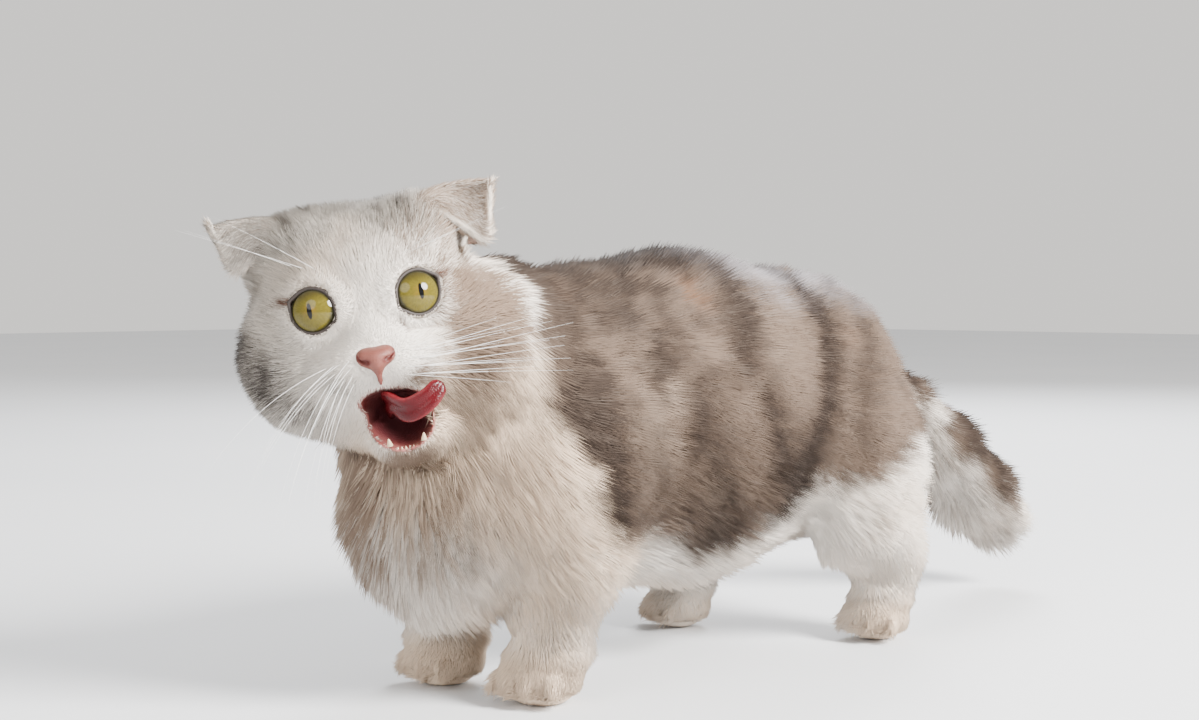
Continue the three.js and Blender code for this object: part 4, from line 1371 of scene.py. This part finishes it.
# The eyelids
# A thin rolled rim of dark moist skin round each eye, nearly round and drawn out a little at both corners.
# Its outer side is paler and carries very short hair. It lies ahead of the eye's middle.
LID_AHEAD, LID_RING, LID_TUBE = 7.35, 8.7, 0.85
LID_TILT = 28


def lid_paint(place):
    margin = place.painted("margin")
    ragged = margin + (place.noise(900.0, 2.0) - 0.5) * 0.25
    pale = place.noise(500.0).mixed((0.50, 0.40, 0.33), (0.66, 0.57, 0.49))
    colour = ragged.between(-0.1, 0.12).mixed(pale, (0.016, 0.009, 0.006))
    return {"Base Color": colour, "Roughness": ragged.between(0.3, 0.8, 0.7, 0.5)}


lid_finish = finish("eyelid_skin", lid_paint)
for side, out in (("left", 1), ("right", -1)):
    across, up, way = eye_frame(out)
    cos, sin = math.cos(math.radians(out * LID_TILT)), math.sin(math.radians(out * LID_TILT))
    across, up = across * cos + up * sin, up * cos - across * sin
    centre = np.array([out * EYE_OUT, 0, 0]) + way * LID_AHEAD
    lid_points, lid_normals, rays, margins, corners = [], [], [], [], []
    spokes, tube = 72, 18
    for spoke in range(spokes):
        a = 2 * math.pi * spoke / spokes
        ray = across * math.cos(a) + up * math.sin(a)
        corner = math.exp(-18 * math.sin(a) ** 2)
        drawn_out = 1 + 0.12 * corner
        middle = centre + LID_RING * (across * math.cos(a) * drawn_out + up * math.sin(a) * 0.96)
        for n in range(tube):
            b = 2 * math.pi * n / tube
            lid_points.append(middle + LID_TUBE * (ray * math.cos(b) + way * math.sin(b)))
            lid_normals.append(ray * math.cos(b) + way * math.sin(b))
            rays.append(ray - 0.25 * way)
            margins.append(0.5 - 0.5 * math.cos(b) + 0.22 * max(math.sin(a + out * 0.3), 0))
            corners.append(corner)
    number = np.arange(spokes * tube).reshape(spokes, tube)
    after, beside = np.roll(number, -1, 0), np.roll(number, -1, 1)
    lid_faces = np.stack([number, after, np.roll(after, -1, 1), beside], 2).reshape(-1, 4)
    lid = piece_from(f"eyelid_{side}", from_head(lid_points), lid_faces, lid_finish)
    outward(lid)
    margins, corners = np.array(margins), np.array(corners)
    values = short_hair(
        np.array(lid_normals) @ head_turn.T, np.array(rays) @ head_turn.T, reach=1.7, rise=0.25, girth=0.22,
        thick=(margins < 0.3) * 1.0, cap=0.3, warm=0.15 + 0.2 * (out > 0), stain=0.75 * corners, cream=0.4,
    )
    painted_on(lid.data, values | {"margin": margins})
    in_area(lid.data, LID_AREA)
    unwrapped(lid)
    hair = coat_piece(f"eyelid_hair_{side}", lid, LID_AREA, 9, short_tuft, seed=40 + out)
    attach(lid, "root")

# The nose
# Bare pebbled pink leather between the muzzle's two pads, with a comma-shaped nostril at each side and a
# narrow groove that runs down to the lip.


def rod_field(path, radii):
    parts = [limb(path[n], path[n + 1], radii[n], radii[n + 1]) for n in range(len(path) - 1)]
    return blend(1, *parts)


def on_face(x, z):
    """How far forward the muzzle's outline lies at this place."""
    y = np.linspace(-30, 10, 400)
    level = skull(np.full(400, float(x)), y, np.full(400, float(z)))
    return float(y[np.argmax(level < 0)])


groove = [(0, on_face(0, z) - 0.1, z) for z in (-25, -27, -28.6, -30)]
groove_field = rod_field(groove, [1.15, 0.8, 0.7, 0.55])
nostrils = [
    rod_field(
        [(out * 2.9, -25.5, -22), (out * 3.9, -22.2, -21.3), (out * 7.6, -19.6, -18.2)], [0.75, 0.85, 0.5]
    )
    for out in (1, -1)
]


def nose_shape(x, y, z):
    solid = smooth_least(nose_field(x, y, z), groove_field(x, y, z), 1.5)
    holes = np.minimum(nostrils[0](x, y, z), nostrils[1](x, y, z))
    return -smooth_least(-solid, holes, 0.7)


def nose_paint(place):
    # The deep mask darkens the leather: painted shade inside the nostrils, and darker towards its bottom.
    deep = place.painted("deep")
    pebbles = place.node("ShaderNodeTexVoronoi", {"Vector": place, "Scale": 1300.0}, feature="F1")
    pink = place.noise(220.0, 3.0).mixed((0.120, 0.034, 0.025), (0.20, 0.066, 0.050))
    colour = deep.mixed(pink, (0.10, 0.022, 0.018))
    bump = place.node("ShaderNodeBump", {"Height": pebbles, "Strength": 0.35, "Distance": 0.0003})
    return {"Base Color": colour, "Roughness": 0.5, "Specular IOR Level": 0.3, "Normal": bump}


nose_points, nose_faces = drawn(
    nose_shape, np.arange(-11, 11.2, 0.45), np.arange(-26, -7, 0.45), np.arange(-34, -12, 0.45)
)
nose_points = settled(nose_shape, nose_points, most=0.4)
within = np.minimum(*[field(*nose_points.T) for field in nostrils])
# Painted shade inside the nostrils, and darker towards the bottom of the leather.
nose_shade = np.maximum(eased(within, 0.9, 0.15), 0.5 * eased(nose_points[:, 2], -25, -28))
nose = piece_from("nose_leather", from_head(nose_points), nose_faces, finish("nose_leather", nose_paint))
painted_on(nose.data, {"deep": nose_shade})
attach(nose, "root")
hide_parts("nose")

# The tongue
# A wet red tongue that comes forward over the floor of the mouth and curls over the upper lip at the left
# side. It is flat, with a shallow furrow down its middle, a fine roughness and a paler thin edge.
TONGUE = (
    (2, 14, -42), (1.4, -3, -38), (2.6, -12, -37.6), (8, -18, -41), (15.5, -20.4, -38.6), (22, -18.6, -33.4),
)
TONGUE_RINGS, TONGUE_SPOKES = 60, 28
TIP_START = 0.93


def tongue_paint(place):
    edge = place.painted("edge")
    rough = place.node("ShaderNodeTexVoronoi", {"Vector": place, "Scale": 1500.0}, feature="F1")
    red = place.noise(150.0, 3.0).mixed((0.030, 0.0005, 0.0016), (0.080, 0.0020, 0.005))
    colour = edge.mixed(red, (0.15, 0.014, 0.018))
    bump = place.node("ShaderNodeBump", {"Height": rough, "Strength": 0.4, "Distance": 0.0004})
    return {
        "Base Color": colour, "Roughness": 0.26, "Specular IOR Level": 0.15, "Coat Weight": 0.15,
        "Coat Roughness": 0.1, "Normal": bump,
    }


def tube_faces(rings, spokes):
    """Quads between rings of points, and a cap at each end."""
    number = np.arange(rings * spokes).reshape(rings, spokes)
    beside = np.roll(number, -1, 1)
    sides = np.stack([number[:-1], beside[:-1], beside[1:], number[1:]], 2).reshape(-1, 4)
    return sides.tolist() + [number[0].tolist(), number[-1, ::-1].tolist()]


spine = through(TONGUE, TONGUE_RINGS)
run = np.gradient(spine, axis=0)
run /= np.linalg.norm(run, axis=1)[:, None]
tongue_points, tongue_edge = [], []
for n, (place, ahead) in enumerate(zip(spine, run)):
    s = n / (TONGUE_RINGS - 1)
    lean = math.radians(86 + 26 * min(2.2 * s, 1))
    wide = np.array([math.cos(lean), 0, math.sin(lean)])
    wide -= ahead * (wide @ ahead)
    wide /= np.linalg.norm(wide)
    flat = np.cross(ahead, wide)
    rounded = 1 - max((s - TIP_START) / 0.072, 0) ** 2
    half = (3.7 + 1.3 * math.sin(math.pi * s**1.2) - 0.4 * s) * math.sqrt(max(rounded, 0.01))
    deep = (2.2 - 0.7 * s**4) * math.sqrt(max(rounded, 0.02))
    for m in range(TONGUE_SPOKES):
        a = 2 * math.pi * m / TONGUE_SPOKES
        c, d = math.cos(a), math.sin(a)
        furrow = 1 - 0.35 * math.exp(-((c / 0.25) ** 2)) * abs(d)
        cupped = 1.5 * (c * c - 0.4) * math.sin(math.pi * s)
        tongue_points.append(place + wide * half * c + flat * (deep * d * furrow + cupped))
        tongue_edge.append(max(abs(c) - 0.72, 0) / 0.28 * (0.4 + 0.6 * s))
tongue_finish = finish("tongue_wet", tongue_paint)
tongue_faces = tube_faces(TONGUE_RINGS, TONGUE_SPOKES)
tongue = piece_from("tongue_wet", from_head(tongue_points), tongue_faces, tongue_finish)
outward(tongue)
painted_on(tongue.data, {"edge": np.array(tongue_edge)})
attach(tongue, "root")
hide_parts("tongue")

# The teeth
# Two short lower canines, and between them the row of tiny cutting teeth, all ivory and glossy. Each is
# given by the place of its root, the way it points, its length, its girth and how far its tip bends.
INCISORS = 6


def tooth_paint(place):
    ivory = place.noise(400.0).mixed((0.42, 0.29, 0.17), (0.62, 0.50, 0.34))
    return {"Base Color": ivory, "Roughness": 0.22}


def tooth_shape(root, way, length, girth, bend, rings=9, spokes=14):
    """A pointed tooth that leans over as it rises."""
    way = np.asarray(way, float) / np.linalg.norm(way)
    side = np.cross(way, (0, 1, 0))
    side /= np.linalg.norm(side)
    ahead = np.cross(side, way)
    points = []
    for ring in range(rings):
        s = ring / (rings - 1)
        centre = np.asarray(root) + way * length * s + ahead * bend * s * s
        width = girth * max((1 - s) ** 0.62, 0.06)
        for n in range(spokes):
            a = 2 * math.pi * n / spokes
            points.append(centre + (side * math.cos(a) + ahead * math.sin(a)) * width)
    return points, tube_faces(rings, spokes)


def joined(parts):
    """Several parts, each its points and its faces, as one."""
    points, faces = [], []
    for part_points, part_faces in parts:
        faces += [[len(points) + index for index in face] for face in part_faces]
        points += part_points
    return points, faces


ivory_finish = finish("tooth_ivory", tooth_paint)
for side, out in (("left", 1), ("right", -1)):
    root, way = (JAW_SHIFT + out * 6.3, -13.2, -53.4), (out * 0.1, -0.24, 0.97)
    canine_points, canine_faces = tooth_shape(root, way, 3.0, 1.15, -0.3)
    tooth = piece_from(f"canine_{side}", from_head(canine_points), canine_faces, ivory_finish)
    outward(tooth)
    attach(tooth, "root")
    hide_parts(f"tooth_lower_{side}")
row = []
for n in range(INCISORS):
    place = n - (INCISORS - 1) / 2
    root = (JAW_SHIFT + place * 1.5, -11.4 + 0.14 * place * place, -55.9)
    row.append(tooth_shape(root, (0, -0.2, 1), 1.4, 0.6, 0.0, rings=5, spokes=8))
row_points, row_faces = joined(row)
incisors = piece_from("incisors", from_head(row_points), row_faces, ivory_finish)
outward(incisors)
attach(incisors, "root")

# The whiskers
# Long white tapering bristles in rows on each muzzle pad, which sweep out and droop, and a few over each eye.
WHISKER_ROWS, WHISKERS_A_ROW, BROW_HAIRS = 4, 4, 3
WHISKER_GIRTH, BROW_HAIR_GIRTH = 0.095, 0.075


def whisker_paint(place):
    gloss = place.noise(60.0).mixed((0.78, 0.77, 0.75), (0.90, 0.89, 0.87))
    return {"Base Color": gloss, "Roughness": 0.35}


def bristle(root, way, length, droop, girth, steps=14, spokes=5):
    way = np.asarray(way, float) / np.linalg.norm(way)
    droop = np.asarray(droop, float)
    points = []
    for n in range(steps + 1):
        s = n / steps
        centre = np.asarray(root) + way * length * s + droop * length * s * s
        ahead = way + 2 * droop * s
        ahead /= np.linalg.norm(ahead)
        side = np.cross(ahead, (0.1, 0.3, 1))
        side /= np.linalg.norm(side)
        top = np.cross(side, ahead)
        width = girth * (1 - 0.85 * s)
        for m in range(spokes):
            a = 2 * math.pi * m / spokes
            points.append(centre + (side * math.cos(a) + top * math.sin(a)) * width)
    return points, tube_faces(steps + 1, spokes)


whisker_finish = finish("whisker", whisker_paint)
draw = np.random.default_rng(12)
for side, out in (("left", 1), ("right", -1)):
    bristles = []
    for row in range(WHISKER_ROWS):
        for column in range(WHISKERS_A_ROW):
            x = out * (9.5 + column * 3.0)
            z = -19.5 - row * 2.9 - column * 0.5
            root = (x, on_face(x, z) + 0.8, z)
            spread = 0.18 * draw.standard_normal(3)
            if side == "right":
                way = np.array([-0.62 - 0.08 * column, -0.34 + 0.1 * column, -0.30 - 0.22 * row])
                way += spread * 0.5
                droop = (0.06, 0.03, -0.30)
                length = 38 + 6 * column - 4 * abs(row - 1.5)
            else:
                way = np.array([0.92, -0.05 + 0.13 * column, 0.10 - 0.10 * row]) + spread * 0.4
                droop = (0.0, 0.16, -0.02)
                length = 44 + 5 * column
            bristles.append(bristle(root, way, length * draw.uniform(0.8, 1.1), droop, WHISKER_GIRTH))
    steep, share = (0.22, 0.7) if side == "left" else (0.55, 1)
    for n in range(BROW_HAIRS):
        x, z = out * (15 + 3.4 * n), 14.5 + 1.0 * n
        root = (x, on_face(x, z) + 1.0, z)
        way = np.array([out * (0.6 + 0.1 * n), -0.35 + 0.1 * n, steep - 0.05 * n])
        way += 0.08 * draw.standard_normal(3)
        length = draw.uniform(34, 50) * share
        bristles.append(bristle(root, way, length, (out * 0.1, 0.12, 0.02), BROW_HAIR_GIRTH))
    whisker_points, whisker_faces = joined(bristles)
    whiskers = piece_from(f"whiskers_{side}", from_head(whisker_points), whisker_faces, whisker_finish)
    outward(whiskers)
    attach(whiskers, "root")
